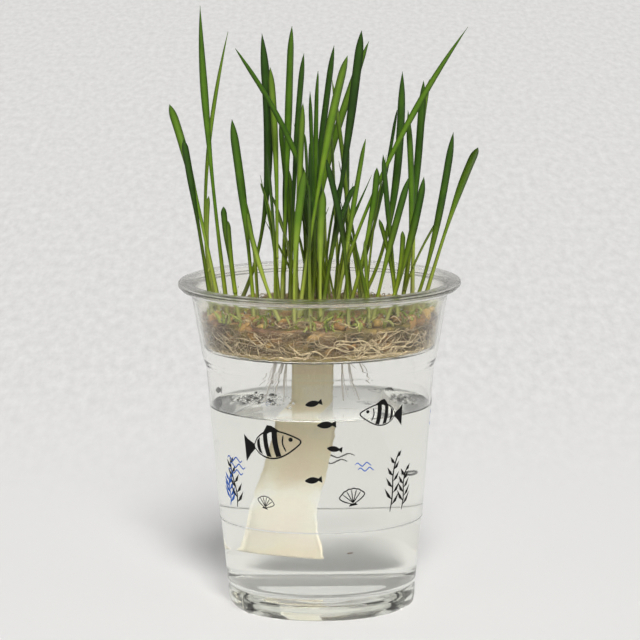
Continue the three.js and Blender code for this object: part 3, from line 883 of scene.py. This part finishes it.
def make_mat(material):
    """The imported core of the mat: a low drum with a lumpy side and top."""
    sides, levels, rings_in = 260, 16, 14
    low, high = TRAY_FLOOR + 0.55, SEED_BED_TOP - 0.6
    side = []
    for k in range(levels + 1):
        z = blend(low, high, k / levels)
        edge = 0.7 if k in (0, levels) else 0
        side.append((tray_inside(z) + 0.15 - edge, z))
    bottom = [(blend(0.5, side[0][0], i / rings_in), low) for i in range(rings_in)]
    top = [(blend(side[-1][0], 0.5, i / rings_in), high) for i in range(1, rings_in + 1)]
    grid = []
    for r, z in [*bottom, *side, *top]:
        ring = []
        for j in range(sides):
            spot = Vector(polar(r, TURN * j / sides, z))
            push = min(1.3 * noise.fractal(spot * 0.35, 1.0, 2.0, 4), 0.9)
            shrink = (r - 1.5 + push) / r if r > 2 else 1
            swell = noise.fractal(spot * 0.22 + Vector((9, 4, 1)), 1.0, 2.0, 3)
            rise = 0.9 * swell if z > 103 else 0
            ring.append((spot.x * shrink, spot.y * shrink, z + rise))
        grid.append(ring)
    shape = Shape()
    shape.add_rings(grid)
    place_piece(add_piece("packed_root_mat", shape, material), "roots", "root_mat")


def wander(rng, steps, step, curl):
    """A path in a plane that drifts and curls at random."""
    heading = rng.uniform(0, TURN)
    sway = [
        (rng.uniform(0.5, 2.2), rng.uniform(0, TURN), rng.uniform(0.3, 1)) for _ in range(3)
    ]
    path = [(0.0, 0.0)]
    for k in range(steps):
        turn = heading + curl * sum(a * math.sin(f * k * 0.3 + p) for f, p, a in sway)
        x, y = path[-1]
        path.append((x + step * math.cos(turn), y + 0.55 * step * math.sin(turn)))
    return np.array(path)


def fold_back(value, low, high):
    """value kept between low and high by turning back at the ends."""
    span = high - low
    return low + np.abs((value - low + span) % (2 * span) - span)


def side_strand(rng, z_low, z_high, depth):
    """A root that wanders over the mat's side, pressed against the tray's wall."""
    steps = rng.randint(14, 30)
    path = wander(rng, steps, rng.uniform(0.7, 1.5), rng.uniform(0.3, 1.1))
    turn = rng.uniform(0, TURN) + path[:, 0] / 40
    z = fold_back(rng.uniform(z_low, z_high) + path[:, 1], z_low, z_high)
    inwards = rng.uniform(*depth)
    inwards = inwards + 0.25 * np.sin(np.arange(steps + 1) * rng.uniform(0.2, 0.6))
    return polar_path(along_tray(z) - 0.28 - np.maximum(inwards, 0), turn, z)


def flat_strand(rng, z_mean, lift):
    """A root that wanders over the mat's top or underside."""
    steps = rng.randint(14, 28)
    path = wander(rng, steps, rng.uniform(0.7, 1.4), rng.uniform(0.3, 1.1))
    turn = rng.uniform(0, TURN)
    radius = 37 * math.sqrt(rng.random())
    cos, sin = math.cos(turn), math.sin(turn)
    x = path[:, 0] * cos - path[:, 1] * sin + radius * math.cos(turn * 3)
    y = path[:, 0] * sin + path[:, 1] * cos + radius * math.sin(turn * 3)
    shrink = np.minimum(1, MAT_REACH / (np.hypot(x, y) + 1e-9))
    wave = np.arange(steps + 1) * rng.uniform(0.25, 0.7) + rng.uniform(0, 6)
    return np.stack([x * shrink, y * shrink, z_mean + lift * np.sin(wave)], 1)


def loop_of_roots(rng, turn, z, count, length):
    """Thick roots that leave one spot on the mat's side and wind apart along the tray's wall."""
    paths = []
    steps = 26
    share = np.arange(steps + 1) / steps
    for _ in range(count):
        heading = rng.uniform(-0.5, 0.9) + (math.pi if rng.random() < 0.5 else 0)
        swing = rng.uniform(0.8, 2.6) * rng.choice((-1, 1))
        wave = 0.35 * np.sin(share * rng.uniform(6, 11) + rng.uniform(0, 6))
        headings = heading + swing * share + wave
        reach = length * rng.uniform(0.6, 1.2) / steps
        along = np.cumsum(reach * np.cos(headings)) + rng.uniform(-1.2, 1.2)
        height = fold_back(z + np.cumsum(reach * 0.8 * np.sin(headings)), MAT_BOTTOM + 0.4, 102)
        depth = 0.3 + rng.uniform(0, 0.4) * np.abs(np.sin(3 * share + rng.uniform(0, 3)))
        paths.append(polar_path(along_tray(height) - depth, turn + along / 40, height))
    return paths


def add_strand(shape, path, thickness, sides, tone):
    """A root along a path, thinner towards its end."""
    share = np.arange(len(path)) / (len(path) - 1)
    radii = thickness * (1 - 0.6 * share) * np.minimum(1, 0.3 + 6 * (1 - share))
    tube(shape, path, radii, sides, tone=tone)


def add_side_strands(rng, shape, count, heights, depth, thickness, tone):
    """Strands on the mat's side, at random within each pair of limits."""
    for _ in range(count):
        path = side_strand(rng, *heights, depth)
        add_strand(shape, path, rng.uniform(*thickness), 6, rng.uniform(*tone))


# Where thick roots leave the mat's side in front: degrees round it, height, count and length.
FRONT_LOOPS = [
    (-66, 97.5, 9, 12), (-84, 97.5, 5, 9), (-95, 96, 4, 9), (-120, 98, 4, 9), (-48, 96, 3, 8),
]


def make_strands(material):
    """Single roots: round the mat's side, and flat over its top and underside."""
    rng = random.Random(5)
    shape = Shape()
    flat = Shape()
    for _ in range(420):
        path = side_strand(rng, MAT_BOTTOM + 0.5, 102.5, (0.0, 1.0))
        thickness = rng.choice((0.1, 0.13, 0.18))
        add_strand(shape, path, thickness, 5, rng.betavariate(1.6, 2.0) * 0.8)
    upper, foot = (MAT_BOTTOM + 0.4, 100), (MAT_BOTTOM + 0.25, MAT_BOTTOM + 1.5)
    add_side_strands(rng, shape, 60, upper, (0, 0.15), (0.16, 0.26), (0.5, 0.9))
    loops = [(rng.uniform(-30, 230), rng.uniform(94, 99), 4, 10) for _ in range(9)]
    for turn, z, count, length in [*FRONT_LOOPS, *loops]:
        for path in loop_of_roots(rng, math.radians(turn), z, count, length):
            add_strand(shape, path, rng.uniform(0.16, 0.3), 7, rng.uniform(0.55, 1.0))
    add_side_strands(rng, shape, 60, foot, (0, 0.2), (0.18, 0.3), (0.5, 0.95))
    for _ in range(300):
        path = flat_strand(rng, SEED_BED_TOP + 0.6, 0.9)
        add_strand(flat, path, rng.uniform(0.12, 0.24), 5, rng.betavariate(1.8, 1.4))
    for _ in range(110):
        path = flat_strand(rng, MAT_BOTTOM + 0.3, 0.1)
        add_strand(flat, path, rng.uniform(0.15, 0.25), 5, rng.uniform(0.5, 1))
    add_side_strands(rng, shape, 24, (95.5, 102), (0, 0.1), (0.14, 0.25), (0.3, 0.85))
    place_piece(add_piece("root_strands", shape, material), "roots")
    place_piece(add_piece("flat_root_strands", flat, material), "roots")


def make_hanging_roots(material):
    """The seven roots that hang through the tray's floor, each with two finer ones beside it."""
    rng = random.Random(8)
    steps = 30
    shape = Shape()
    for (x, y), end in HANGING_ROOTS:
        for k in range(3):
            drift = 0 if k == 0 else 1.6
            shift = [rng.uniform(-drift, drift), rng.uniform(-drift, drift), 6 * k * rng.random()]
            shift = np.array(shift)
            half_way_down = blend(TRAY_FLOOR, end[2], 0.5)
            half_way = (blend(x, end[0], 0.35), blend(y, end[1], 0.35), half_way_down)
            points = [
                (x, y, MAT_BOTTOM + 2),
                (x, y, TRAY_FLOOR - 1),
                np.array(half_way) + shift * 0.4,
                np.array(end) + shift,
            ]
            path = catmull_rom(points, steps)
            sway = 7 + 3 * noise.noise(Vector((x, y, k)))
            wave = 0.3 * np.sin(np.linspace(0, sway, steps + 1))
            path[:, 0] += wave * np.linspace(0, 1, steps + 1)
            thick = 0.42 if k == 0 else 0.2
            radii = np.linspace(thick, thick * 0.45, steps + 1)
            tube(shape, path, radii, 8, tone=rng.uniform(1.0, 1.25))
    place_piece(add_piece("hanging_roots", shape, material), "roots")


def grain_mesh(shape, centre, yaw, tilt, size, tone):
    """A wheat grain: plump, pointed at one end, with a crease along it."""
    around, along = 14, 12
    rings = []
    for k in range(along + 1):
        u = -1 + 2 * k / along
        swell = max(math.sqrt(max(1 - u * u, 0.0)) ** 0.8 * (1 - 0.12 * u), 0.06)
        ring = []
        for j in range(around):
            turn = TURN * j / around
            dent = 1 - 0.28 * math.exp(-((math.cos(turn / 2 - math.pi / 4) / 0.16) ** 2))
            y = math.cos(turn) * swell * GRAIN_WIDTH / 2
            z = math.sin(turn) * swell * GRAIN_THICKNESS / 2 * dent
            ring.append((u * GRAIN_LENGTH / 2, y, z))
        rings.append(ring)
    turned = Matrix.Rotation(yaw, 3, "Z") @ Matrix.Rotation(tilt, 3, "Y")
    points = np.array(rings).reshape(-1, 3) * size @ np.array(turned).T + centre
    shape.add_rings(points.reshape(along + 1, around, 3), tone=tone)


# The dark flecks in the water: degrees round the cup, height and size.
FLECKS = ((60, 14, 0.3), (81, 16.5, 0.16), (52, 40, 0.14))


def make_grains(material):
    """The solids' grains in the same spiral, smaller ones between them, and some at the side."""
    numbers = seeded(7)
    rng = random.Random(11)
    shape = Shape()
    for i in range(GRAIN_COUNT):
        r = GRAIN_REACH * math.sqrt((i + 0.5) / GRAIN_COUNT)
        turn = i * GOLDEN_ANGLE + 0.35 * (next(numbers) - 0.5)
        yaw = TURN * next(numbers)
        tilt = 0.4 * (next(numbers) - 0.5)
        size = 0.9 + 0.2 * next(numbers)
        centre = polar(r, turn, SEED_BED_TOP)
        grain_mesh(shape, centre, yaw, tilt, size, rng.betavariate(1.5, 2))
    for _ in range(SMALL_GRAIN_COUNT):
        r = MAT_REACH * math.sqrt(rng.uniform(0.0, 1))
        turn = rng.uniform(0, TURN)
        centre = polar(r, turn, SEED_BED_TOP + rng.uniform(-0.9, 0.7))
        yaw, tilt, size = rng.uniform(0, 6.3), rng.uniform(-0.7, 0.7), rng.uniform(0.7, 0.95)
        grain_mesh(shape, centre, yaw, tilt, size, rng.betavariate(1.5, 2))
    for _ in range(SIDE_GRAIN_COUNT):
        z = rng.uniform(96, 103.5)
        turn = rng.uniform(0, TURN)
        centre = polar(tray_inside(z) - 2.2, turn, z)
        tilt, size = rng.uniform(-0.8, 0.8), rng.uniform(0.7, 0.9)
        grain_mesh(shape, centre, turn + math.pi / 2, tilt, size, rng.uniform(0.2, 0.75))
    place_piece(add_piece("sprouted_grains", shape, material), "grain", "seed_layer")
    flecks = Shape()
    for degrees, z, size in FLECKS:
        turn = math.radians(degrees)
        r = radius_at(offset(CUP_OUTSIDE, CUP_WALL), z) - 0.35
        grain_mesh(flecks, polar(r, turn, z), turn + math.pi / 2, 0.15, size, 0.1)
    place_piece(add_piece("flecks", flecks, material), "grain")


def pull_in(point, bound):
    """Moves a point towards the axis until it is within bound of it."""
    point[:2] *= min(1, bound / math.hypot(*point[:2]))


THIN_LEAF_SIDES = 7


def add_thin_leaf(shape, points, steps, radius, taper, across, tone, raised=0, along_steps=None):
    """A thin round leaf along a curve, with the values that its colours go by."""
    path = catmull_rom(points, steps)
    numbers = np.arange(steps + 1)
    radii = radius * np.minimum(1, 0.12 + taper * (1 - numbers / steps))
    height = np.repeat(path[:, 2] - ROOTING_HEIGHT + raised, THIN_LEAF_SIDES)
    along = np.repeat(numbers / (along_steps or steps), THIN_LEAF_SIDES)
    values = {"height": height, "along": along, "across": across, "tone": tone}
    tube(shape, path, radii, THIN_LEAF_SIDES, **values)


def make_young_sprouts(material):
    """Short sprouts that push up between the grains, bent and pressed together."""
    rng = random.Random(29)
    bound = tray_inside(SEED_BED_TOP) - 0.9
    shape = Shape()
    for _ in range(SPROUT_COUNT):
        r = 40 * math.sqrt(rng.uniform(0.05, 1))
        turn = rng.uniform(0, TURN)
        at_back = ramp(r * math.sin(turn), 0, 25)
        height = rng.uniform(1.5, blend(5.5, 2.2, at_back))
        lean = rng.uniform(0, TURN)
        reach = rng.uniform(0.1, 1.3) * height
        base = np.array(polar(r, turn, SEED_BED_TOP - 1))
        end = base + np.array(polar(reach, lean, height))
        pull_in(end, bound)
        middle = blend(base, end, 0.5) + np.array([rng.uniform(-1, 1), rng.uniform(-1, 1), 0.3])
        pull_in(middle, bound)
        radius, raised, tone = rng.uniform(0.28, 0.62), rng.uniform(-1, 8), rng.uniform(0.1, 0.95)
        points = [base, middle, end]
        add_thin_leaf(shape, points, 12, radius, 2.6, 0.55, tone, raised, along_steps=40)
    place_piece(add_piece("young_sprouts", shape, material), "blade")


def make_fine_leaves(material):
    """Thin leaves in the middle of the tuft. They are only here, not in the solids."""
    rng = random.Random(41)
    steps = 24
    across = np.tile(np.cos(circle_turns(THIN_LEAF_SIDES)), steps + 1)
    shape = Shape()
    for _ in range(FINE_LEAF_COUNT):
        base = np.array([rng.uniform(-22, 16), rng.uniform(-14, 16), SEED_BED_TOP - 1])
        height = rng.uniform(32, 70)
        lean = rng.choice((-1, 1)) * rng.uniform(4, 16)
        sideways = rng.uniform(-5, 5)
        middle = base + np.array([lean * rng.uniform(0.3, 0.5), sideways / 2, height * 0.55])
        points = [base, middle, base + np.array([lean, sideways, height])]
        radius, tone = rng.uniform(0.38, 0.6), rng.uniform(0, 0.75)
        add_thin_leaf(shape, points, steps, radius, 3.5, across, tone)
    place_piece(add_piece("fine_leaves", shape, material), "blade")


def make_wall_drops(material):
    """Small drops of water on the tray's wall above the mat."""
    rng = random.Random(31)
    shape = Shape()
    for _ in range(DROP_COUNT):
        z = rng.uniform(104, 109.5)
        turn = rng.uniform(0, TURN)
        add_drop(shape, turn, z, tray_inside(z) - 0.02, rng.uniform(0.15, 0.5) ** 1.2)
    place_piece(add_piece("wall_drops", shape, material), "water")


# Loose groups of bubbles: the centre, the spread to both sides and the count.
BUBBLE_GROUPS = [((-21, 11), (12, 14), 110), ((29, 9), (7, 10), 44), ((-2, 30), (16, 3), 16)]


def make_surface_bubbles(material):
    """Small bubbles in loose groups on the water."""
    rng = random.Random(37)
    shape = Shape()
    for (x, y), (spread_x, spread_y), count in BUBBLE_GROUPS:
        for _ in range(count):
            spot = (rng.gauss(x, spread_x / 2), rng.gauss(y, spread_y / 2))
            size = rng.choice((0.4, 0.5, 0.7, 0.9, 1.1)) * rng.uniform(0.8, 1.1)
            if math.hypot(*spot) < 36 - size:
                add_dome(shape, spot, size)
    place_piece(add_piece("surface_bubbles", shape, material), "water")


def add_dome(shape, spot, size):
    """A low dome on the water's surface."""
    around, rings_up = 12, 5
    turns = circle_turns(around)
    rings = []
    for k in range(rings_up + 1):
        rise = math.pi / 2 * k / rings_up
        r = size * (math.cos(rise) + 0.02)
        z = WATER_LEVEL - 0.05 + 0.7 * size * math.sin(rise)
        rings.append(polar_path(r, turns, z) + np.array([*spot, 0]))
    shape.add_rings(rings)


def add_drop(shape, turn, z, r, size):
    """Half a flattened ball of water on the inside of a wall of radius r."""
    around, rings_out = 10, 4
    wide = np.array([-math.sin(turn), math.cos(turn), 0])
    out = np.array(polar(1, turn, 0))
    rings = []
    for k in range(rings_out + 1):
        lift = math.sin(math.pi / 2 * k / rings_out)
        width = math.cos(math.pi / 2 * k / rings_out) + 0.02
        ring = []
        for j in range(around):
            angle = TURN * j / around
            sideways = wide * math.cos(angle) * size * width
            upright = np.array([0, 0, z + math.sin(angle) * size * width * 1.25])
            ring.append(out * (r - 0.45 * size * lift) + sideways + upright)
        rings.append(ring)
    shape.add_rings(rings)


# ---- print ----------------------------------------------------------------------------------

PRINT_RADIUS = 37.6
PRINT_LIFT = (0.03, 0.1)
LINE_TAPER = 0.5


def on_wall(s, z, lift):
    """A point just outside the cup's wall, s round it to the right from the front, at height z."""
    return polar(radius_at(CUP_OUTSIDE, z) + lift, s / PRINT_RADIUS - math.pi / 2, z)


def raised(edges):
    """A ring of points on the wall: along the edges close to it, and back a little farther out."""
    ring = [on_wall(*edge, PRINT_LIFT[0]) for edge in edges]
    return ring + [on_wall(*edge, PRINT_LIFT[1]) for edge in edges[::-1]]


class Motif:
    """A drawing on the wall with its own centre, size, turn and direction."""

    def __init__(self, shape, centre, size=1.0, turn=0.0, mirror=1):
        self.shape = shape
        self.centre = centre
        self.size = size
        self.turn = math.radians(turn)
        self.mirror = mirror

    def place(self, point):
        x, y = point[0] * self.mirror * self.size, point[1] * self.size
        cos, sin = math.cos(self.turn), math.sin(self.turn)
        return (self.centre[0] + x * cos - y * sin, self.centre[1] + x * sin + y * cos)

    def line(self, points, width, steps=10):
        """A stroke of ink along a smooth curve through the points."""
        placed = [(*self.place(point), 0) for point in points]
        path = catmull_rom(placed, steps * (len(points) - 1))[:, :2]
        along = unit(np.gradient(path, axis=0))
        side = np.stack([-along[:, 1], along[:, 0]], 1)
        rings = []
        for k, (point, across) in enumerate(zip(path, side)):
            share = k / (len(path) - 1)
            half = width / 2 * self.size * blend(LINE_TAPER, 1, min(1, 8 * min(share, 1 - share)))
            rings.append(raised([point + across * half, point - across * half]))
        self.shape.add_rings(rings)

    def patch(self, outline):
        """A filled patch of ink between the two sides of an outline, as pairs of points."""
        rings = []
        for first, second in outline:
            first, second = np.array(self.place(first)), np.array(self.place(second))
            rings.append(raised([blend(first, second, share) for share in (0, 1 / 3, 2 / 3, 1)]))
        self.shape.add_rings(rings)

    def dot(self, centre, radius):
        pairs = []
        for t in np.linspace(0, math.pi, 9):
            x = centre[0] - radius * math.cos(t)
            half = radius * max(math.sin(t), 0.05)
            pairs.append(((x, centre[1] - half), (x, centre[1] + half)))
        self.patch(pairs)


def fish_half_height(x):
    """Half the height of a plain fish's body, with its nose at x = 10 and its tail at -7."""
    share = min(max((x + 7) / 17, 0), 1)
    return 0.75 + 4.1 * math.sin(math.pi * share**0.8) ** 0.9


FISH_STRIPES = ((1.2, 2.0), (-2.4, 1.7), (-5.4, 1.2))


def draw_fish(motif):
    xs = np.linspace(-7, 9.9, 14)
    top = [(x, fish_half_height(x)) for x in xs]
    low = [(x, -fish_half_height(x)) for x in xs[::-1]]
    motif.line([*top, (10.4, 0), *low], 0.55, steps=4)
    motif.patch([((-7, -0.8), (-7, 0.8)), ((-9.5, -2.6), (-9.5, 2.6)), ((-12, -5), (-11, 4.4))])
    motif.patch([((-3, 3.2), (-2.6, 4.6)), ((0, 4.4), (-0.6, 7)), ((4, 4.2), (1, 6.6))])
    motif.dot((7, 1.1), 0.75)
    motif.line([(4.6, 2.9), (3.9, 0), (4.6, -2.9)], 0.5)
    for x, width in FISH_STRIPES:
        back, front = x - width / 2, x + width / 2
        stripe = []
        for y in np.linspace(-0.92, 0.92, 6):
            bow = 0.5 * y * y
            left = (back + bow, y * fish_half_height(back))
            stripe.append((left, (front + bow, y * fish_half_height(front))))
        motif.patch(stripe)


def draw_small_fish(motif):
    body = []
    for x in np.linspace(-2.4, 3, 8):
        half = 1.3 * math.cos(x / 2) ** 0.8
        body.append(((x, -half - 0.05), (x, half + 0.05)))
    motif.patch(body)
    motif.patch([((-2.2, -0.3), (-2.2, 0.3)), ((-4, -1.4), (-4, 1.4))])


def draw_shell(motif):
    turns = np.linspace(-1.15, 1.15, 13)
    rim = [(6 * math.sin(a), 5.4 * math.cos(a) + 0.25 * (i % 2)) for i, a in enumerate(turns)]
    motif.line([(0, -1), (-3.6, 0.6), *rim, (3.6, 0.6), (0, -1)], 0.5, steps=3)
    for x, y in rim[2:-2:2]:
        motif.line([(0, -0.4), (x * 0.5, y * 0.45), (x * 0.92, y * 0.92)], 0.4)
    motif.patch([((-2, -1.6), (2, -1.6)), ((-1.1, -0.6), (1.1, -0.6))])


def draw_kelp(motif, height, lean):
    """A stalk with pointed leaves to both sides."""
    stalk = [(lean * (k / 5) ** 2 + 0.6 * math.sin(k * 1.3), height * k / 5) for k in range(6)]
    motif.line(stalk, 0.55)
    for k in range(1, 10):
        share = k / 10
        x = lean * share**2 + 0.6 * math.sin(share * 5 * 1.3)
        y = height * share
        side = 1 if k % 2 else -1
        reach = 3.6 * (1.1 - 0.6 * share)
        mid_x, mid_y = x + side * reach * 0.5, y + reach * 0.45
        tip_x, tip_y = x + side * reach, y + reach * 1.2
        foot = ((x - 0.1, y), (x + 0.1, y))
        middle = ((mid_x + side * 0.5, mid_y - 0.35), (mid_x - side * 0.35, mid_y + 0.45))
        motif.patch([foot, middle, ((tip_x - 0.05, tip_y), (tip_x + 0.05, tip_y))])


def draw_waves(motif, length, rows):
    xs = np.arange(0, length, 1.25)
    for row in range(rows):
        shift = 1.6 * (row % 2)
        points = [(x + shift, 0.9 * math.sin(x * 1.25) - 2.6 * row) for x in xs]
        motif.line(points, 0.5, steps=4)


SMALL_FISH_IN_FRONT = (
    (-2.6, 78, 0.8, 12), (1.6, 70.5, 0.9, 4), (4.4, 62, 0.75, -8), (-3, 51, 0.85, 6),
)
SMALL_FISH_ROUND = ((120, 74), (126, 79), (-72, 74), (60, 72))


def make_print(black, blue):
    """A plain sea design round the cup, in black with a few blue lines."""
    ink = Shape()
    draw_fish(Motif(ink, (-17, 63), 1.0, 9))
    draw_fish(Motif(ink, (21.5, 73), 0.78, -6, -1))
    draw_kelp(Motif(ink, (27, 38)), 21, 3)
    draw_kelp(Motif(ink, (33, 38)), 15, 2)
    draw_kelp(Motif(ink, (-35, 39)), 17, -2.5)
    draw_shell(Motif(ink, (11.5, 43), 0.85, 8))
    draw_shell(Motif(ink, (-21, 41), 0.62, -12))
    for x, z, size, turn in SMALL_FISH_IN_FRONT:
        draw_small_fish(Motif(ink, (x, z), size, turn, -1))
    draw_fish(Motif(ink, (92, 66), 0.85, 5))
    draw_fish(Motif(ink, (-84, 52), 0.7, -8, -1))
    draw_waves(Motif(ink, (112, 51), 0.8), 14, 2)
    draw_kelp(Motif(ink, (76, 39)), 19, -2)
    draw_shell(Motif(ink, (100, 42), 0.8))
    for centre in SMALL_FISH_ROUND:
        draw_small_fish(Motif(ink, centre, 0.8, 8))
    place_piece(add_piece("print_black", ink, black, smooth=False), "print_black")
    tint = Shape()
    draw_waves(Motif(tint, (-39, 56), 0.85), 11, 3)
    draw_kelp(Motif(tint, (-39.5, 39)), 11, 1.5)
    draw_waves(Motif(tint, (12, 56), 0.7), 9, 2)
    draw_waves(Motif(tint, (58, 68), 0.8), 10, 3)
    draw_kelp(Motif(tint, (-98, 39)), 14, 2)
    place_piece(add_piece("print_blue", tint, blue, smooth=False), "print_blue")


# ---- shoots ----------------------------------------------------------------------------------


def seeded(seed):
    """Numbers from 0 to 1, the same as in the part's source."""
    state = seed
    while True:
        state = (state * 1664525 + 1013904223) % 2**32
        yield state / 2**32


LEAF_VALUES = "base middle tip width face point opening"
Leaf = namedtuple("Leaf", LEAF_VALUES, defaults=(POINT_SHARE, BLADE_OPENING))


def leaf_points(leaf, t):
    """Points on the leaf's midline at shares t of it."""
    root = np.array(leaf.base if len(leaf.base) > 2 else (*leaf.base, ROOTING_HEIGHT), float)
    tip = np.array(leaf.tip, float)
    control = 2 * np.array(leaf.middle, float) - 0.5 * root - 0.5 * tip
    t = np.asarray(t, float)[..., None]
    return (1 - t) ** 2 * root + 2 * t * (1 - t) * control + t * t * tip


def leaf_direction(leaf, t):
    step = 0.01
    along = leaf_points(leaf, min(t + step, 1)) - leaf_points(leaf, max(t - step, 0))
    return along / np.linalg.norm(along)


def side_leaf(shoot, turn):
    start = leaf_points(shoot, SIDE_LEAF_START)
    along = leaf_direction(shoot, SIDE_LEAF_START)
    reach = np.array([math.cos(turn), math.sin(turn), 0])
    middle = tuple(start + 13 * along + 2.2 * reach)
    tip = tuple(start + 26 * along + 6.5 * reach)
    face = math.degrees(turn) + 90
    width = shoot.width * 0.75
    return Leaf(tuple(start), middle, tip, width, face, opening=SIDE_LEAF_OPENING)


def midline(leaf):
    return leaf_points(leaf, np.arange(41) / 40)


def stand_clear(points, others):
    gaps = np.linalg.norm(points[:, None] - others[None], axis=2)
    return gaps.min() > SHOOT_CLEARANCE


def filler_shoot(numbers):
    x = FILLER_CENTRE + FILLER_SPREAD[0] * (next(numbers) + next(numbers) - 1)
    y = FILLER_SPREAD[1] * (2 * next(numbers) - 1)
    height = blend(*FILLER_HEIGHT, next(numbers))
    lean_x = blend(-4, 4, next(numbers))
    lean_y = blend(-4, 4, next(numbers))
    bow = blend(-2, 2, next(numbers))
    middle = (x + lean_x * 0.4 + bow, y + lean_y * 0.4, ROOTING_HEIGHT + height / 2)
    tip = (x + lean_x, y + lean_y, ROOTING_HEIGHT + height)
    width = blend(2, 2.8, next(numbers))
    return Leaf((x, y), middle, tip, width, 180 * next(numbers))


def all_shoots():
    """The part's shoots, each a list of leaves. Only shoot 27's point is slimmer here."""
    shoots = [[Leaf(*values)] for values in SHOOTS]
    taken = [midline(leaves[0]) for leaves in shoots]
    numbers = seeded(21)
    while len(shoots) < len(SHOOTS) + FILLER_COUNT:
        leaf = filler_shoot(numbers)
        points = midline(leaf)
        on_bed = math.hypot(*leaf.base) < FILLER_REACH
        if on_bed and all(stand_clear(points, others) for others in taken):
            shoots.append([leaf])
            taken.append(points)
    for i in range(1, len(shoots), SIDE_LEAF_EVERY):
        for turn in SIDE_LEAF_TURNS:
            leaf = side_leaf(shoots[i][0], turn + i)
            points = midline(leaf)
            if all(k == i or stand_clear(points, others) for k, others in enumerate(taken)):
                shoots[i].append(leaf)
                taken[i] = np.concatenate([taken[i], points])
                break
    return shoots


def leaf_mesh(shape, leaf, tone, twist):
    """A round stem that opens into a folded, tapering blade with a midrib."""
    steps, around = 60, 16
    rings, heights, alongs, acrosses = [], [], [], []
    for k in range(steps + 1):
        t = 1 - (1 - k / steps) ** 1.3
        opened = ramp(t, *leaf.opening)
        stem = blend(FOOT_RADIUS, NECK_RADIUS, ramp(t, 0, NECK_SHARE))
        pointed = max((t - 1 + leaf.point) / leaf.point, 0) ** 2.4
        half_width = max(blend(stem, leaf.width / 2, opened) * (1 - pointed), 0.06)
        half_thickness = max(blend(stem * 0.92, 0.17, opened) * min(1, 3 * (1 - pointed)), 0.05)
        fold = 0.42 * half_width * opened
        centre = leaf_points(leaf, t)
        direction = leaf_direction(leaf, t)
        face = math.radians(leaf.face + twist * ramp(t, 0.25, 1))
        wide = np.array([math.cos(face), math.sin(face), 0])
        wide -= wide.dot(direction) * direction
        wide /= np.linalg.norm(wide)
        thick = np.cross(direction, wide)
        ring = []
        for j in range(around):
            turn = 2 * math.pi * j / around
            w = math.cos(turn)
            rib = 0.12 * opened * math.exp(-((w / 0.16) ** 2)) * (math.sin(turn) < 0)
            depth = half_thickness * math.sin(turn) - rib + fold * (abs(w) - 0.5)
            ring.append(centre + wide * half_width * w + thick * depth)
            # across also runs round the stem, where the blade material darkens its two sides as
            # painted shade.
            acrosses.append(w * blend(0.8, 1, opened))
        rings.append(ring)
        heights.extend([centre[2] - ROOTING_HEIGHT] * around)
        alongs.extend([t] * around)
    shape.add_rings(rings, height=heights, along=alongs, across=acrosses, tone=tone)


def make_shoots(material):
    rng = random.Random(17)
    for i, leaves in enumerate(all_shoots()):
        shape = Shape()
        tone = rng.uniform(0.05, 0.95)
        for k, leaf in enumerate(leaves):
            twist = rng.uniform(-40, 40) if k == 0 else rng.uniform(-15, 15)
            leaf_mesh(shape, leaf, min(1, tone + 0.15 * k), twist)
        piece = add_piece(f"wheat_shoot_{i + 1:02d}", shape, material)
        place_piece(piece, "blade", f"shoot_{i + 1:02d}")

# ---- the whole -------------------------------------------------------------------------------

make_camera()
make_floor()
for lamp in LAMPS:
    make_lamp(*lamp)
make_world()
cup_plastic = clear_material("cup_plastic", (0.985, 0.985, 0.965), 1.3, 0.04, 0.87, 0.05, 0.2)
make_cup(cup_plastic)
make_foot_ribs(cup_plastic)
# The shoulder ridge is white on the clear cup: a painted highlight, a bright line round its
# shoulder.
make_shoulder_ridge(ridge_painted_highlight_material())
make_tray(clear_material("tray_plastic", (0.975, 0.965, 0.925), 1.18, 0.05, 0.89, 0.05, 0.22))
make_water(clear_material("water", (0.98, 0.985, 0.97), 1.333, 0.0, 0.89))
wick_length = make_wick(felt_material())
make_mat(mat_material())
make_strands(root_material("roots", (0.73, 0.61, 0.41), (0.15, 0.092, 0.032), 0.55))
hanging = root_material("hanging_roots", (0.99, 0.97, 0.95), (0.95, 0.91, 0.87), 0.5, 0.8)
make_hanging_roots(hanging)
make_grains(grain_material())
blade = blade_material()
make_shoots(blade)
make_young_sprouts(blade)
make_fine_leaves(blade)
drops = clear_material("drops", 0.99, 1.333, 0.0, 0.98)
make_wall_drops(drops)
make_surface_bubbles(drops)
make_print(ink_material("print_black", 0.006), ink_material("print_blue", (0.02, 0.10, 0.42)))

scene = bpy.context.scene
scene.view_settings.view_transform = "Standard"
scene.cycles.max_bounces = 20
scene.cycles.transmission_bounces = 20
scene.cycles.transparent_max_bounces = 24

print("wick length", round(wick_length, 1))
